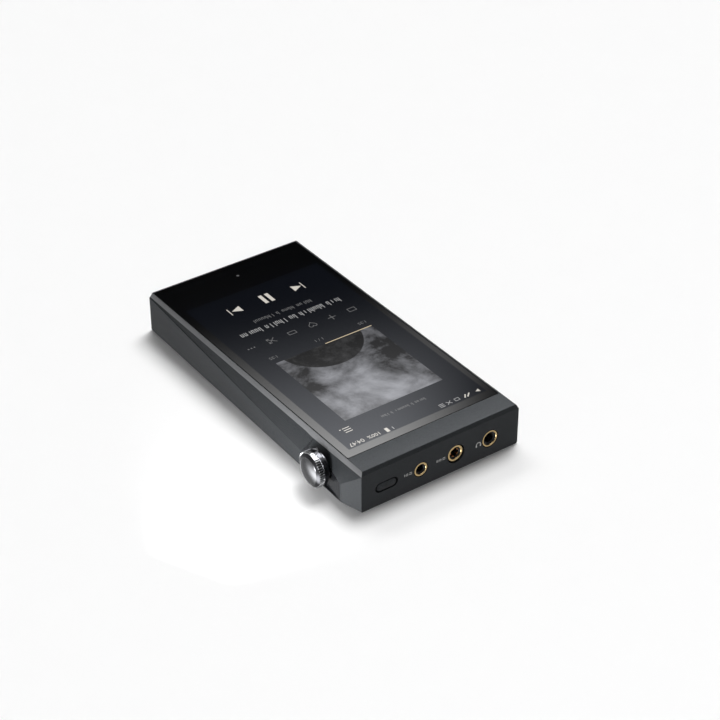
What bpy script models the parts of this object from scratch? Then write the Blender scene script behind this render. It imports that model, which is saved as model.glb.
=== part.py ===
"""Portable digital audio player: a faceted aluminium body with a glass front,
a volume wheel on its right side, three headphone jacks and a power button in
its top end, and three playback buttons on its left side.

The player lies on its back: +Z points out of the screen, +Y towards the jack
end and +X towards the volume wheel.  The origin is at the bottom centre of the
player's box.  Sizes are in metres.
"""
import math

import bmesh
import bpy
from mathutils import Vector

# ---------------------------------------------------------------- the body
BODY_LENGTH = 0.1411          # jack end to charging end
BODY_THICKNESS = 0.0171       # back cover to glass
LEFT_FACE_X = -0.0346         # flat left side
END_RIGHT_X = 0.0349          # right edge of the jack end face
FAR_RIGHT_X = 0.03524         # right side at the charging end
CORNER_RIGHT_X = 0.03746      # widest point of the flared right side
CORNER_FACET_RUN = 0.00878    # length in Y of the cut corner beside the jack end
RIM_TOP_X = 0.0341            # outer edge of the flat top on the right
RIM_LOW_X = 0.03488           # lower edge of the bright chamfer on the right
RIM_LOW_Z = 0.0020            # its depth below the glass
RIM_DIP_Z = 0.0024            # and where it dips beside the wheel
RIM_END_Z = 0.00175           # and at both ends
RIDGE_FAR_Z = 0.0020          # depth of the side ridge at the charging end
RIDGE_WHEEL_Z = 0.00995       # and just before the wheel
RIDGE_AFTER_Z = 0.0085        # and just after it
RIDGE_CORNER_Z = 0.0089       # and where the cut corner starts
LEFT_ROUND_X = 0.0015         # rounding of the left top edge, across
LEFT_ROUND_Z = 0.0022         # and down
LEFT_ROUND_STEPS = 5
BASE_BEVEL = 0.0003           # small bevel round the bottom edge
JACK_END_CHAMFER_Y = 0.00075  # chamfer along the top of the jack end
JACK_END_CHAMFER_Z = 0.0015
FAR_END_CHAMFER_Y = 0.0004    # the same at the charging end
FAR_END_CHAMFER_Z = 0.0008

# ------------------------------------------------- clearances and openings
GAP = 0.0003                  # between pieces that touch
RUNNING_CLEARANCE = 0.00005   # shaft in its bushing
SLIDE_GAP = 0.0003            # round a button in its hole
BAY_HALF_WIDTH = 0.0314       # inside of the body
END_WALL = 0.0030             # wall at each end of the bay
JACK_STRIP = 0.01185          # metal between the glass bay and the jack end face
LEDGE_NEAR = 0.0023           # glass ledge widths at the jack end
LEDGE_FAR = 0.0021            # and at the charging end
GLASS_RIGHT_X = 0.0336
GLASS_LEFT_X = -0.0327
GLASS_FAR_BORDER = 0.0012     # charging end face to the edge of the glass
GLASS_THICKNESS = 0.0009
GLASS_SET_DOWN = 0.00003      # glass below the flush metal round it
GASKET_THICKNESS = 0.0007
DISPLAY_THICKNESS = 0.0020
DISPLAY_HALF_WIDTH = 0.0311
DISPLAY_LENGTH = 0.1106
DISPLAY_NEAR_MARGIN = 0.0005  # display to the opening's edge at the jack end
MID_PLATE_THICKNESS = 0.0010
BAY_ROOF = 0.0020             # metal under the glass ledge at the jack end
LUG_THICKNESS = 0.0012
LUG_REACH = 0.0030
LUG_WIDTH = 0.0046
LUG_FAR_MARGIN = 0.0110       # first lug to the far end of the mid plate
LUG_ENCODER_MARGIN = 0.0050   # last lug to the encoder
BACK_WALL = 0.0014            # body's rim round the back cover
BACK_COVER_THICKNESS = 0.0012
BACK_TAPE_THICKNESS = 0.0006
CORNER_RADIUS = 0.0012

# --------------------------------------------------------- boards and cell
MAIN_BOARD_THICKNESS = 0.0008
MAIN_BOARD_HALF_WIDTH = 0.0280
STANDOFF_HEIGHT = 0.0013
STANDOFF_RADIUS = 0.0017
SHIELD_HEIGHT = 0.0020
SHIELD_WALL = 0.0003
AUDIO_BOARD_THICKNESS = 0.0010
AUDIO_BOARD_LENGTH = 0.0425
BATTERY_LENGTH = 0.0640
BATTERY_HALF_WIDTH = 0.0270
BATTERY_CLEARANCE = 0.0006
SCREW_RADIUS = 0.0008
SCREW_HEAD_RADIUS = 0.0014
SCREW_HEAD_HEIGHT = 0.0006
SCREW_HOLE_RADIUS = 0.0011
TUBE_LENGTH = 0.0440
TUBE_WIDTH = 0.0165
TUBE_THICKNESS = 0.0056
TUBE_CARRIER_THICKNESS = 0.0006
DAMPER_THICKNESS = 0.0022
FLEX_THICKNESS = 0.0002
DISPLAY_FLEX_HALF_WIDTH = 0.0070
DISPLAY_FLEX_SLOT = 0.0045    # length of its slot in the mid plate
DISPLAY_FLEX_LEAD = 0.0015    # display's far edge to that slot
AUDIO_FLEX_HALF_WIDTH = 0.0060
AUDIO_FLEX_X = -0.0060
SHIELD_FROM_FAR_END = 0.0270  # first row of shields to the main board's far end
SHIELD_LENGTH = 0.0280
PROCESSOR_SHIELD_X = (-0.0220, 0.0020)
POWER_SHIELD_X = (0.0040, 0.0220)
RADIO_SHIELD_X = (-0.0220, 0.0120)
RADIO_SHIELD_GAP = 0.0050
RADIO_SHIELD_LENGTH = 0.0140
CONVERTER_SHIELDS = (("left", -0.0210), ("right", -0.0010))
CONVERTER_HALF_WIDTH = 0.0080
CONVERTER_LENGTH = 0.0058

# --------------------------------------------------------------- the wheel
WHEEL_FROM_END = 0.02107      # wheel axis to the jack end face
WHEEL_RADIUS = 0.00684        # polished rim of the cap
KNURL_RADIUS = 0.00655
KNURL_WIDTH = 0.0021
KNURL_BEVEL = 0.0002
SKIRT_RADIUS = 0.0054
SKIRT_WIDTH = 0.0017
SHAFT_RADIUS = 0.0010
BUSHING_RADIUS = 0.0024
CAP_OUTER_X = 0.0431          # outermost point of the player
CAP_HEIGHT = 0.0021
CAP_FACE_RADIUS = 0.0050
NOTCH_FAR_BEFORE = 0.0108     # far end of the wheel's notch, before the axis
NOTCH_DEEP_BEFORE = 0.0045    # deepest point of the notch, before the axis
NOTCH_DEEP_X = 0.03562
NOTCH_CORNER_LAND = 0.0006    # side left between the notch and the cut corner
NOTCH_FLOOR = 0.0008
NOTCH_REACH = 0.0100          # how far the notch's cutter runs past the side
ENCODER_DEPTH = 0.0063
ENCODER_WIDTH = 0.0104
ENCODER_HEIGHT = 0.0070

# ---------------------------------------------------- jacks and the buttons
JACK_BODY_HEIGHT = 0.0068
JACK_BODY_WIDTH = 0.0086
JACK_BODY_DEPTH = 0.0135
COLLAR_DEPTH = 0.0016
COLLAR_SET_BACK = 0.0001      # collar's face behind the end face
COLLAR_BEVEL = 0.0002
JACK_BLIND_WALL = 0.0010      # left at the bottom of a jack's bore
# name, across, bore radius, collar inner and outer radius, dark recess round it
JACKS = (
    ("jack_small_balanced", 0.0092, 0.0014, 0.0019, 0.00279, 0.0),
    ("jack_large_balanced", -0.0063, 0.0023, 0.00245, 0.00325, 0.0003),
    ("jack_headphone", -0.0217, 0.0019, 0.00245, 0.00335, 0.0),
)
POWER_X = 0.0241
POWER_LENGTH = 0.0092
POWER_HEIGHT = 0.0035
POWER_RECESS = 0.0001
POWER_DIMPLE_RADIUS = 0.0007
POWER_DIMPLE_DEPTH = 0.0003
POWER_SWITCH_HALF_WIDTH = 0.0030
POWER_SWITCH_HALF_HEIGHT = 0.0015
POWER_BOARD_HALF_WIDTH = 0.0050
POWER_BOARD_RISE = 0.0030     # top of its board above the jack axes
BUTTON_FLANGE = 0.0006
BUTTON_FLANGE_THICKNESS = 0.0009
BUTTON_TRAVEL = 0.0004
SWITCH_DEPTH = 0.0018
SWITCH_BOARD_THICKNESS = 0.0008
# name, distance from the jack end face, length, how far it stands proud
SIDE_BUTTONS = (
    ("previous_button", 0.0680, 0.0085, 0.0006),
    ("play_button", 0.0545, 0.0085, 0.0008),
    ("next_button", 0.0410, 0.0085, 0.0006),
)
SIDE_BUTTON_HEIGHT = 0.0034
SIDE_SWITCH_DEPTH = 0.0009
SIDE_SWITCH_HALF_LENGTH = 0.0020
SIDE_SWITCH_HALF_HEIGHT = 0.0014
SIDE_BOARD_THICKNESS = 0.0004
SIDE_BOARD_MARGIN = 0.0050    # board beyond the first and last switch
SIDE_BOARD_DROP = 0.0016      # and below their axis

# ------------------------------------------------------- the charging end
USB_WIDTH = 0.0089
USB_HEIGHT = 0.0032
USB_DEPTH = 0.0073
USB_WALL = 0.0003
TONGUE_WIDTH = 0.0062
TONGUE_HEIGHT = 0.0007
TONGUE_LENGTH = 0.0048
CARD_X = 0.0140
CARD_WIDTH = 0.0118
CARD_HEIGHT = 0.0013
CARD_SHELL_WIDTH = 0.0146
CARD_SHELL_DEPTH = 0.0150
CARD_SHELL_WALL = 0.0003

# ------------------------------------------------------ worked out from them
HALF_LENGTH = BODY_LENGTH / 2
TOP = BODY_THICKNESS
MIDDLE_Z = BODY_THICKNESS / 2
PROUDEST_BUTTON = max(button[3] for button in SIDE_BUTTONS)
CENTRE_SHIFT = -(CAP_OUTER_X + LEFT_FACE_X - PROUDEST_BUTTON) / 2
CORNER_START_Y = HALF_LENGTH - CORNER_FACET_RUN
WHEEL_Y = HALF_LENGTH - WHEEL_FROM_END
NOTCH_FAR_Y = WHEEL_Y - NOTCH_FAR_BEFORE
NOTCH_DEEP_Y = WHEEL_Y - NOTCH_DEEP_BEFORE

GLASS_TOP = TOP - GLASS_SET_DOWN
GLASS_BOTTOM = GLASS_TOP - GLASS_THICKNESS
GASKET_TOP = GLASS_BOTTOM - GAP
GLASS_LEDGE = GASKET_TOP - GASKET_THICKNESS - GAP
DISPLAY_TOP = GLASS_BOTTOM - GAP
MID_PLATE_TOP = DISPLAY_TOP - DISPLAY_THICKNESS - GAP
MID_PLATE_BOTTOM = MID_PLATE_TOP - MID_PLATE_THICKNESS
LUG_TOP = MID_PLATE_BOTTOM - GAP
LUG_BOTTOM = LUG_TOP - LUG_THICKNESS
BAY_TOP = GLASS_LEDGE - BAY_ROOF
STANDOFF_BOTTOM = MID_PLATE_BOTTOM - STANDOFF_HEIGHT
MAIN_BOARD_TOP = STANDOFF_BOTTOM - GAP
MAIN_BOARD_BOTTOM = MAIN_BOARD_TOP - MAIN_BOARD_THICKNESS
SHIELD_TOP = MAIN_BOARD_BOTTOM - GAP
SHIELD_BOTTOM = SHIELD_TOP - SHIELD_HEIGHT
BACK_TAPE_BOTTOM = BACK_COVER_THICKNESS + GAP
BACK_LEDGE = BACK_TAPE_BOTTOM + BACK_TAPE_THICKNESS + GAP
BATTERY_BOTTOM = BACK_COVER_THICKNESS + BATTERY_CLEARANCE
BATTERY_TOP = SHIELD_BOTTOM - BATTERY_CLEARANCE
AUDIO_BOARD_BOTTOM = BACK_LEDGE + GAP
AUDIO_BOARD_TOP = AUDIO_BOARD_BOTTOM + AUDIO_BOARD_THICKNESS
JACK_Z = AUDIO_BOARD_TOP + GAP + JACK_BODY_HEIGHT / 2

BAY_FAR_Y = -HALF_LENGTH + END_WALL
BAY_NEAR_Y = HALF_LENGTH - END_WALL
GLASS_FAR_Y = -HALF_LENGTH + GLASS_FAR_BORDER
RECESS_NEAR_Y = HALF_LENGTH - JACK_STRIP + LEDGE_NEAR
GLASS_NEAR_Y = RECESS_NEAR_Y - GAP
RECESS_FAR_Y = GLASS_FAR_Y - GAP
OPENING_NEAR_Y = RECESS_NEAR_Y - LEDGE_NEAR
OPENING_FAR_Y = RECESS_FAR_Y + LEDGE_FAR
RECESS_RIGHT_X = GLASS_RIGHT_X + GAP
RECESS_LEFT_X = GLASS_LEFT_X - GAP
DISPLAY_NEAR_Y = OPENING_NEAR_Y - DISPLAY_NEAR_MARGIN
DISPLAY_FAR_Y = DISPLAY_NEAR_Y - DISPLAY_LENGTH
MID_PLATE_FAR_Y = OPENING_FAR_Y + GAP
MID_PLATE_NEAR_Y = OPENING_NEAR_Y - GAP
BACK_HALF_WIDTH = -LEFT_FACE_X - BACK_WALL
BACK_HALF_LENGTH = HALF_LENGTH - BACK_WALL
AUDIO_BOARD_NEAR_Y = BAY_NEAR_Y - GAP
AUDIO_BOARD_FAR_Y = AUDIO_BOARD_NEAR_Y - AUDIO_BOARD_LENGTH
MAIN_BOARD_FAR_Y = BAY_FAR_Y + 4 * GAP
MAIN_BOARD_NEAR_Y = AUDIO_BOARD_FAR_Y + GAP
BATTERY_NEAR_Y = AUDIO_BOARD_FAR_Y - 12 * GAP
BATTERY_FAR_Y = BATTERY_NEAR_Y - BATTERY_LENGTH
LUG_CENTRE_X = BAY_HALF_WIDTH - LUG_REACH / 2
LUG_FIRST_Y = MID_PLATE_FAR_Y + LUG_FAR_MARGIN
LUG_LAST_Y = WHEEL_Y - ENCODER_WIDTH / 2 - LUG_ENCODER_MARGIN
LUG_ROWS = (LUG_FIRST_Y, (LUG_FIRST_Y + LUG_LAST_Y) / 2, LUG_LAST_Y)
BOARD_SCREW_X = MAIN_BOARD_HALF_WIDTH - 2 * STANDOFF_RADIUS
BOARD_SCREW_ROWS = (
    MAIN_BOARD_FAR_Y + 2.5 * STANDOFF_RADIUS,
    MAIN_BOARD_NEAR_Y - 1.5 * STANDOFF_RADIUS,
)
DISPLAY_FLEX_SLOT_NEAR_Y = DISPLAY_FAR_Y - DISPLAY_FLEX_LEAD
DISPLAY_FLEX_SLOT_FAR_Y = DISPLAY_FLEX_SLOT_NEAR_Y - DISPLAY_FLEX_SLOT
USB_Z = MAIN_BOARD_BOTTOM - GAP - USB_HEIGHT / 2
CARD_SHELL_HEIGHT = CARD_HEIGHT + 2 * CARD_SHELL_WALL
CARD_Z = MAIN_BOARD_BOTTOM - GAP - CARD_SHELL_HEIGHT / 2
TUBE_Y = AUDIO_BOARD_FAR_Y + TUBE_WIDTH / 2 + 8 * GAP
TUBE_X = -0.0020
TUBE_BOTTOM = AUDIO_BOARD_TOP + GAP + TUBE_CARRIER_THICKNESS + GAP
CAP_BACK_X = CAP_OUTER_X - CAP_HEIGHT
KNURL_FRONT_X = CAP_BACK_X - GAP
BORE_RADIUS = SHAFT_RADIUS + GAP
BUSHING_BORE = SHAFT_RADIUS + RUNNING_CLEARANCE
KNURL_BACK_X = KNURL_FRONT_X - KNURL_WIDTH
SKIRT_BACK_X = KNURL_BACK_X - SKIRT_WIDTH
ENCODER_FACE_X = BAY_HALF_WIDTH - 4 * GAP

# ------------------------------------------------------------------ set-up
for old in list(bpy.data.objects):
    bpy.data.objects.remove(old, do_unlink=True)

parts = bpy.data.collections.new("audio_player")
cutters = bpy.data.collections.new("cutters")
bpy.context.scene.collection.children.link(parts)
bpy.context.scene.collection.children.link(cutters)

player = bpy.data.objects.new("player_frame", None)
player.location.x = CENTRE_SHIFT
parts.objects.link(player)


def make_material(name, colour, roughness, metallic):
    material = bpy.data.materials.new(name)
    material.use_nodes = True
    shader = material.node_tree.nodes["Principled BSDF"]
    shader.inputs["Base Color"].default_value = (*colour, 1.0)
    shader.inputs["Roughness"].default_value = roughness
    shader.inputs["Metallic"].default_value = metallic
    return material


ALUMINIUM = make_material("blasted_aluminium", (0.115, 0.118, 0.125), 0.42, 0.9)
GLASS = make_material("black_glass", (0.006, 0.007, 0.009), 0.06, 0.0)
POLISHED = make_material("polished_dark_steel", (0.20, 0.20, 0.21), 0.16, 1.0)
STEEL = make_material("steel", (0.55, 0.55, 0.56), 0.35, 1.0)
GOLD = make_material("gold_plate", (0.83, 0.60, 0.30), 0.25, 1.0)
BRASS = make_material("brass", (0.70, 0.52, 0.26), 0.35, 1.0)
PLASTIC = make_material("black_plastic", (0.015, 0.015, 0.016), 0.5, 0.0)
BOARD = make_material("circuit_board", (0.01, 0.035, 0.05), 0.5, 0.0)
RUBBER = make_material("rubber", (0.02, 0.02, 0.02), 0.8, 0.0)
CELL = make_material("battery_foil", (0.30, 0.31, 0.33), 0.45, 0.2)
FLEX = make_material("flex_film", (0.35, 0.15, 0.03), 0.45, 0.0)
TUBE = make_material("tube_glass", (0.10, 0.14, 0.14), 0.1, 0.0)


def add_object(name, mesh, material=None):
    """Link a mesh as a sub-part, or as a cutter where it has no material."""
    thing = bpy.data.objects.new(name, mesh)
    thing.parent = player
    if material is None:
        cutters.objects.link(thing)
        thing.hide_render = True
        thing.display_type = "WIRE"
    else:
        parts.objects.link(thing)
        mesh.materials.append(material)
    return thing


def mesh_from(name, bm):
    bmesh.ops.recalc_face_normals(bm, faces=bm.faces)
    mesh = bpy.data.meshes.new(name)
    bm.to_mesh(mesh)
    bm.free()
    return mesh


def box_bmesh(low, high):
    """A box between two corners."""
    bm = bmesh.new()
    bmesh.ops.create_cube(bm, size=1.0)
    centre = (Vector(low) + Vector(high)) / 2
    size = Vector(high) - Vector(low)
    bmesh.ops.scale(bm, vec=size, verts=bm.verts)
    bmesh.ops.translate(bm, vec=centre, verts=bm.verts)
    return bm


def add_box(name, low, high, material=None, radius=0.0, along=2, segments=3):
    """A box, its edges along one axis rounded where a radius is given."""
    bm = box_bmesh(low, high)
    if radius > 0:
        edges = []
        for edge in bm.edges:
            step = edge.verts[0].co - edge.verts[1].co
            if abs(step[along]) > 0.5 * step.length:
                edges.append(edge)
        bmesh.ops.bevel(bm, geom=edges, offset=radius, segments=segments,
                        profile=0.5, affect="EDGES")
    return add_object(name, mesh_from(name, bm), material)


def add_stadium(name, centre, length, height, depth, across, material=None):
    """A slot shape with round ends, its depth along X or Y and its length along
    the other, standing `height` tall."""
    half = Vector((depth, length, height)) / 2
    if across == 1:
        half = Vector((length, depth, height)) / 2
    low = Vector(centre) - half
    high = Vector(centre) + half
    return add_box(name, low, high, material, radius=height * 0.499,
                   along=across, segments=7)


def add_cylinder(name, centre, radius, depth, axis, material=None, sides=24):
    """A cylinder about the X, Y or Z axis."""
    bm = bmesh.new()
    bmesh.ops.create_cone(bm, cap_ends=True, segments=sides, radius1=radius,
                          radius2=radius, depth=depth)
    mesh = mesh_from(name, bm)
    thing = add_object(name, mesh, material)
    thing.location = centre
    if axis == "X":
        thing.rotation_euler.y = math.pi / 2
    if axis == "Y":
        thing.rotation_euler.x = -math.pi / 2
    return thing


def add_turned(name, profile, closed, location, axis, material, sides):
    """A turned piece: a profile of (radius, height) points, from the top down
    its outer side, swept round the axis with a Screw modifier."""
    mesh = bpy.data.meshes.new(name)
    points = [(radius, 0.0, height) for radius, height in profile]
    lines = [(i, i + 1) for i in range(len(points) - 1)]
    if closed:
        lines.append((len(points) - 1, 0))
    mesh.from_pydata(points, lines, [])
    thing = add_object(name, mesh, material)
    screw = thing.modifiers.new("turn", "SCREW")
    screw.steps = sides
    screw.render_steps = sides
    screw.use_merge_vertices = True
    screw.merge_threshold = 0.00001
    thing.location = location
    if axis == "X":
        thing.rotation_euler.y = math.pi / 2
    if axis == "Y":
        thing.rotation_euler.x = -math.pi / 2
    return thing


def boolean(target, tool, operation="DIFFERENCE"):
    modifier = target.modifiers.new(tool.name, "BOOLEAN")
    modifier.operation = operation
    modifier.solver = "EXACT"
    modifier.object = tool


# ------------------------------------------------------------- the chassis
def blend(y, stations):
    """Straight-line interpolation between (y, value) stations."""
    if y <= stations[0][0]:
        return stations[0][1]
    for (y0, v0), (y1, v1) in zip(stations, stations[1:]):
        if y <= y1:
            return v0 + (v1 - v0) * (y - y0) / (y1 - y0)
    return stations[-1][1]


CREASE_BEFORE_Y = NOTCH_FAR_Y - 0.0018
CREASE_AFTER_Y = NOTCH_FAR_Y + 0.0030
SIDE_X = (
    (-HALF_LENGTH, FAR_RIGHT_X),
    (CORNER_START_Y, CORNER_RIGHT_X),
    (HALF_LENGTH, END_RIGHT_X),
)
RIM_Z = (
    (-HALF_LENGTH, TOP - RIM_END_Z),
    (CREASE_BEFORE_Y, TOP - RIM_LOW_Z),
    (CREASE_AFTER_Y, TOP - RIM_DIP_Z),
    (HALF_LENGTH, TOP - RIM_END_Z),
)
RIDGE_Z = (
    (-HALF_LENGTH, TOP - RIDGE_FAR_Z),
    (CREASE_BEFORE_Y, TOP - RIDGE_WHEEL_Z),
    (CREASE_AFTER_Y, TOP - RIDGE_AFTER_Z),
    (CORNER_START_Y, TOP - RIDGE_CORNER_Z),
    (HALF_LENGTH, TOP - RIM_END_Z),
)


def body_section(y, top_drop):
    """Outline of the body across its length, from the bottom left corner up the
    left side, over the top and down the faceted right side."""
    side = blend(y, SIDE_X)
    rim = blend(y, RIM_Z)
    ridge = blend(y, RIDGE_Z)
    top = TOP - top_drop
    outline = [(LEFT_FACE_X + BASE_BEVEL, 0.0), (LEFT_FACE_X, BASE_BEVEL)]
    for step in range(LEFT_ROUND_STEPS + 1):
        angle = math.pi / 2 * step / LEFT_ROUND_STEPS
        x = LEFT_FACE_X + LEFT_ROUND_X * (1 - math.cos(angle))
        z = TOP - LEFT_ROUND_Z * (1 - math.sin(angle))
        outline.append((x, min(z, top)))
    outline.append((RIM_TOP_X, top))
    outline.append((min(RIM_LOW_X, side), rim))
    outline.append((side, ridge))
    outline.append((side, BASE_BEVEL))
    outline.append((side - BASE_BEVEL, 0.0))
    return [Vector((x, y, z)) for x, z in outline]


def loft(name, sections, material):
    """Close a body over a row of outlines that have the same number of points."""
    bm = bmesh.new()
    rings = [[bm.verts.new(point) for point in section] for section in sections]
    count = len(rings[0])
    for ring, following in zip(rings, rings[1:]):
        for i in range(count):
            j = (i + 1) % count
            bm.faces.new((ring[i], ring[j], following[j], following[i]))
    bm.faces.new(rings[0])
    bm.faces.new(rings[-1])
    bmesh.ops.remove_doubles(bm, verts=bm.verts, dist=0.00003)
    return add_object(name, mesh_from(name, bm), material)


def make_chassis():
    chassis = loft("chassis", [
        body_section(-HALF_LENGTH, FAR_END_CHAMFER_Z),
        body_section(-HALF_LENGTH + FAR_END_CHAMFER_Y, 0.0),
        body_section(CREASE_BEFORE_Y, 0.0),
        body_section(CREASE_AFTER_Y, 0.0),
        body_section(CORNER_START_Y, 0.0),
        body_section(HALF_LENGTH - JACK_END_CHAMFER_Y, 0.0),
        body_section(HALF_LENGTH, JACK_END_CHAMFER_Z),
    ], ALUMINIUM)
    below = -0.001
    above = TOP + 0.001
    boolean(chassis, add_box(
        "cut_bay", (-BAY_HALF_WIDTH, BAY_FAR_Y, below),
        (BAY_HALF_WIDTH, BAY_NEAR_Y, BAY_TOP), radius=CORNER_RADIUS))
    boolean(chassis, add_box(
        "cut_front_opening", (-BAY_HALF_WIDTH, OPENING_FAR_Y, MIDDLE_Z),
        (BAY_HALF_WIDTH, OPENING_NEAR_Y, above)))
    boolean(chassis, add_box(
        "cut_glass_recess", (RECESS_LEFT_X, RECESS_FAR_Y, GLASS_LEDGE),
        (RECESS_RIGHT_X, RECESS_NEAR_Y, above)))
    boolean(chassis, add_box(
        "cut_back_recess", (-BACK_HALF_WIDTH, -BACK_HALF_LENGTH, below),
        (BACK_HALF_WIDTH, BACK_HALF_LENGTH, BACK_LEDGE), radius=CORNER_RADIUS))
    for side, word in ((-1, "left"), (1, "right")):
        for row, y in enumerate(LUG_ROWS):
            outer = side * (BAY_HALF_WIDTH + 0.0005)
            inner = side * (BAY_HALF_WIDTH - LUG_REACH)
            lug = add_box(
                f"lug_{word}_{row}",
                (min(outer, inner), y - LUG_WIDTH / 2, LUG_BOTTOM),
                (max(outer, inner), y + LUG_WIDTH / 2, LUG_TOP))
            boolean(chassis, lug, "UNION")
            boolean(chassis, add_cylinder(
                f"cut_lug_{word}_{row}", (side * LUG_CENTRE_X, y, LUG_BOTTOM),
                SCREW_HOLE_RADIUS, 4 * LUG_THICKNESS, "Z", sides=16))
    boolean(chassis, notch_cutter())
    boolean(chassis, add_cylinder(
        "cut_bushing", (NOTCH_DEEP_X - 0.003, WHEEL_Y, MIDDLE_Z),
        BUSHING_RADIUS + GAP, 0.010, "X"))
    for name, x, bore, inner, outer, recess in JACKS:
        boolean(chassis, add_cylinder(
            f"cut_{name}", (x, HALF_LENGTH - COLLAR_DEPTH / 2 + 0.001, JACK_Z),
            outer + GAP + recess, COLLAR_DEPTH + 2 * GAP + 0.002, "Y", sides=32))
        boolean(chassis, add_cylinder(
            f"cut_{name}_bore", (x, HALF_LENGTH - END_WALL, JACK_Z),
            bore + GAP, 2 * END_WALL, "Y", sides=24))
    boolean(chassis, add_stadium(
        "cut_power_button", (POWER_X, HALF_LENGTH - END_WALL / 2, JACK_Z),
        POWER_LENGTH + 2 * SLIDE_GAP, POWER_HEIGHT + 2 * SLIDE_GAP,
        2 * END_WALL, 1))
    for name, from_end, length, proud in SIDE_BUTTONS:
        boolean(chassis, add_stadium(
            f"cut_{name}", (LEFT_FACE_X, HALF_LENGTH - from_end, MIDDLE_Z),
            length + 2 * SLIDE_GAP, SIDE_BUTTON_HEIGHT + 2 * SLIDE_GAP,
            0.010, 0))
    boolean(chassis, add_stadium(
        "cut_usb", (0.0, -HALF_LENGTH, USB_Z), USB_WIDTH + 2 * GAP,
        USB_HEIGHT + 2 * GAP, 3 * END_WALL, 1))
    boolean(chassis, add_box(
        "cut_card_slot", (CARD_X - CARD_WIDTH / 2, -HALF_LENGTH - END_WALL,
                          CARD_Z - CARD_HEIGHT / 2),
        (CARD_X + CARD_WIDTH / 2, BAY_FAR_Y + END_WALL / 2,
         CARD_Z + CARD_HEIGHT / 2)))
    return chassis


def notch_cutter():
    """The three-cornered notch that lays the wheel bare, seen from above."""
    near_y = CORNER_START_Y - NOTCH_CORNER_LAND
    far_x = blend(NOTCH_FAR_Y, SIDE_X)
    near_x = blend(near_y, SIDE_X)
    deep = Vector((NOTCH_DEEP_X, NOTCH_DEEP_Y))
    corners = [deep]
    for outer in (Vector((far_x, NOTCH_FAR_Y)), Vector((near_x, near_y))):
        run = outer - deep
        corners.append(deep + run * (NOTCH_REACH / run.x))
    bm = bmesh.new()
    floor = [bm.verts.new((corner.x, corner.y, NOTCH_FLOOR)) for corner in corners]
    face = bm.faces.new(floor)
    grown = bmesh.ops.extrude_face_region(bm, geom=[face])
    raised = [item for item in grown["geom"] if isinstance(item, bmesh.types.BMVert)]
    bmesh.ops.translate(bm, vec=(0, 0, 2 * TOP), verts=raised)
    return add_object("cut_wheel_notch", mesh_from("cut_wheel_notch", bm))


# ------------------------------------------------------ front and back stack
def ring_plate(name, low, high, inner_low, inner_high, material, radius=0.0):
    """A flat frame: a plate with a rectangular window."""
    plate = add_box(name, low, high, material, radius=radius)
    window = add_box(f"cut_{name}", (*inner_low, low[2] - 0.001),
                     (*inner_high, high[2] + 0.001))
    boolean(plate, window)
    return plate


def make_front():
    add_box("front_glass", (GLASS_LEFT_X, GLASS_FAR_Y, GLASS_BOTTOM),
            (GLASS_RIGHT_X, GLASS_NEAR_Y, GLASS_TOP), GLASS, radius=0.0004,
            segments=2)
    ring_plate("display_gasket",
               (GLASS_LEFT_X, GLASS_FAR_Y, GLASS_LEDGE + GAP),
               (GLASS_RIGHT_X, GLASS_NEAR_Y, GASKET_TOP),
               (-BAY_HALF_WIDTH - GAP, OPENING_FAR_Y - GAP),
               (BAY_HALF_WIDTH + GAP, OPENING_NEAR_Y + GAP), RUBBER)
    add_box("display_module",
            (-DISPLAY_HALF_WIDTH, DISPLAY_FAR_Y, DISPLAY_TOP - DISPLAY_THICKNESS),
            (DISPLAY_HALF_WIDTH, DISPLAY_NEAR_Y, DISPLAY_TOP), PLASTIC,
            radius=0.0005, segments=2)


def make_mid_plate():
    half_width = BAY_HALF_WIDTH - GAP
    plate = add_box("mid_plate", (-half_width, MID_PLATE_FAR_Y, MID_PLATE_BOTTOM),
                    (half_width, MID_PLATE_NEAR_Y, MID_PLATE_TOP), STEEL,
                    radius=CORNER_RADIUS)
    for row, y in enumerate(BOARD_SCREW_ROWS):
        for side in (-1, 1):
            x = side * BOARD_SCREW_X
            post = add_cylinder(
                f"standoff_{row}_{side}",
                (x, y, (MID_PLATE_TOP + STANDOFF_BOTTOM) / 2 - 0.0001),
                STANDOFF_RADIUS, MID_PLATE_TOP - STANDOFF_BOTTOM - 0.0002, "Z",
                sides=20)
            boolean(plate, post, "UNION")
            boolean(plate, add_cylinder(
                f"cut_standoff_{row}_{side}", (x, y, MID_PLATE_BOTTOM),
                SCREW_HOLE_RADIUS, 4 * STANDOFF_HEIGHT, "Z", sides=16))
    for row, y in enumerate(LUG_ROWS):
        for side in (-1, 1):
            boolean(plate, add_cylinder(
                f"cut_plate_{row}_{side}", (side * LUG_CENTRE_X, y, MID_PLATE_TOP),
                SCREW_HOLE_RADIUS, 4 * MID_PLATE_THICKNESS, "Z", sides=16))
    boolean(plate, add_box(
        "cut_display_flex",
        (-DISPLAY_FLEX_HALF_WIDTH - 3 * GAP, DISPLAY_FLEX_SLOT_FAR_Y, LUG_BOTTOM),
        (DISPLAY_FLEX_HALF_WIDTH + 3 * GAP, DISPLAY_FLEX_SLOT_NEAR_Y, TOP)))


def make_back():
    half_width = BACK_HALF_WIDTH - GAP
    half_length = BACK_HALF_LENGTH - GAP
    add_box("back_cover", (-half_width, -half_length, 0.0),
            (half_width, half_length, BACK_COVER_THICKNESS), GLASS,
            radius=CORNER_RADIUS)
    ring_plate("back_cover_tape",
               (-half_width, -half_length, BACK_TAPE_BOTTOM),
               (half_width, half_length, BACK_TAPE_BOTTOM + BACK_TAPE_THICKNESS),
               (-BAY_HALF_WIDTH - GAP, BAY_FAR_Y - GAP),
               (BAY_HALF_WIDTH + GAP, BAY_NEAR_Y + GAP), RUBBER,
               radius=CORNER_RADIUS)


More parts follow.
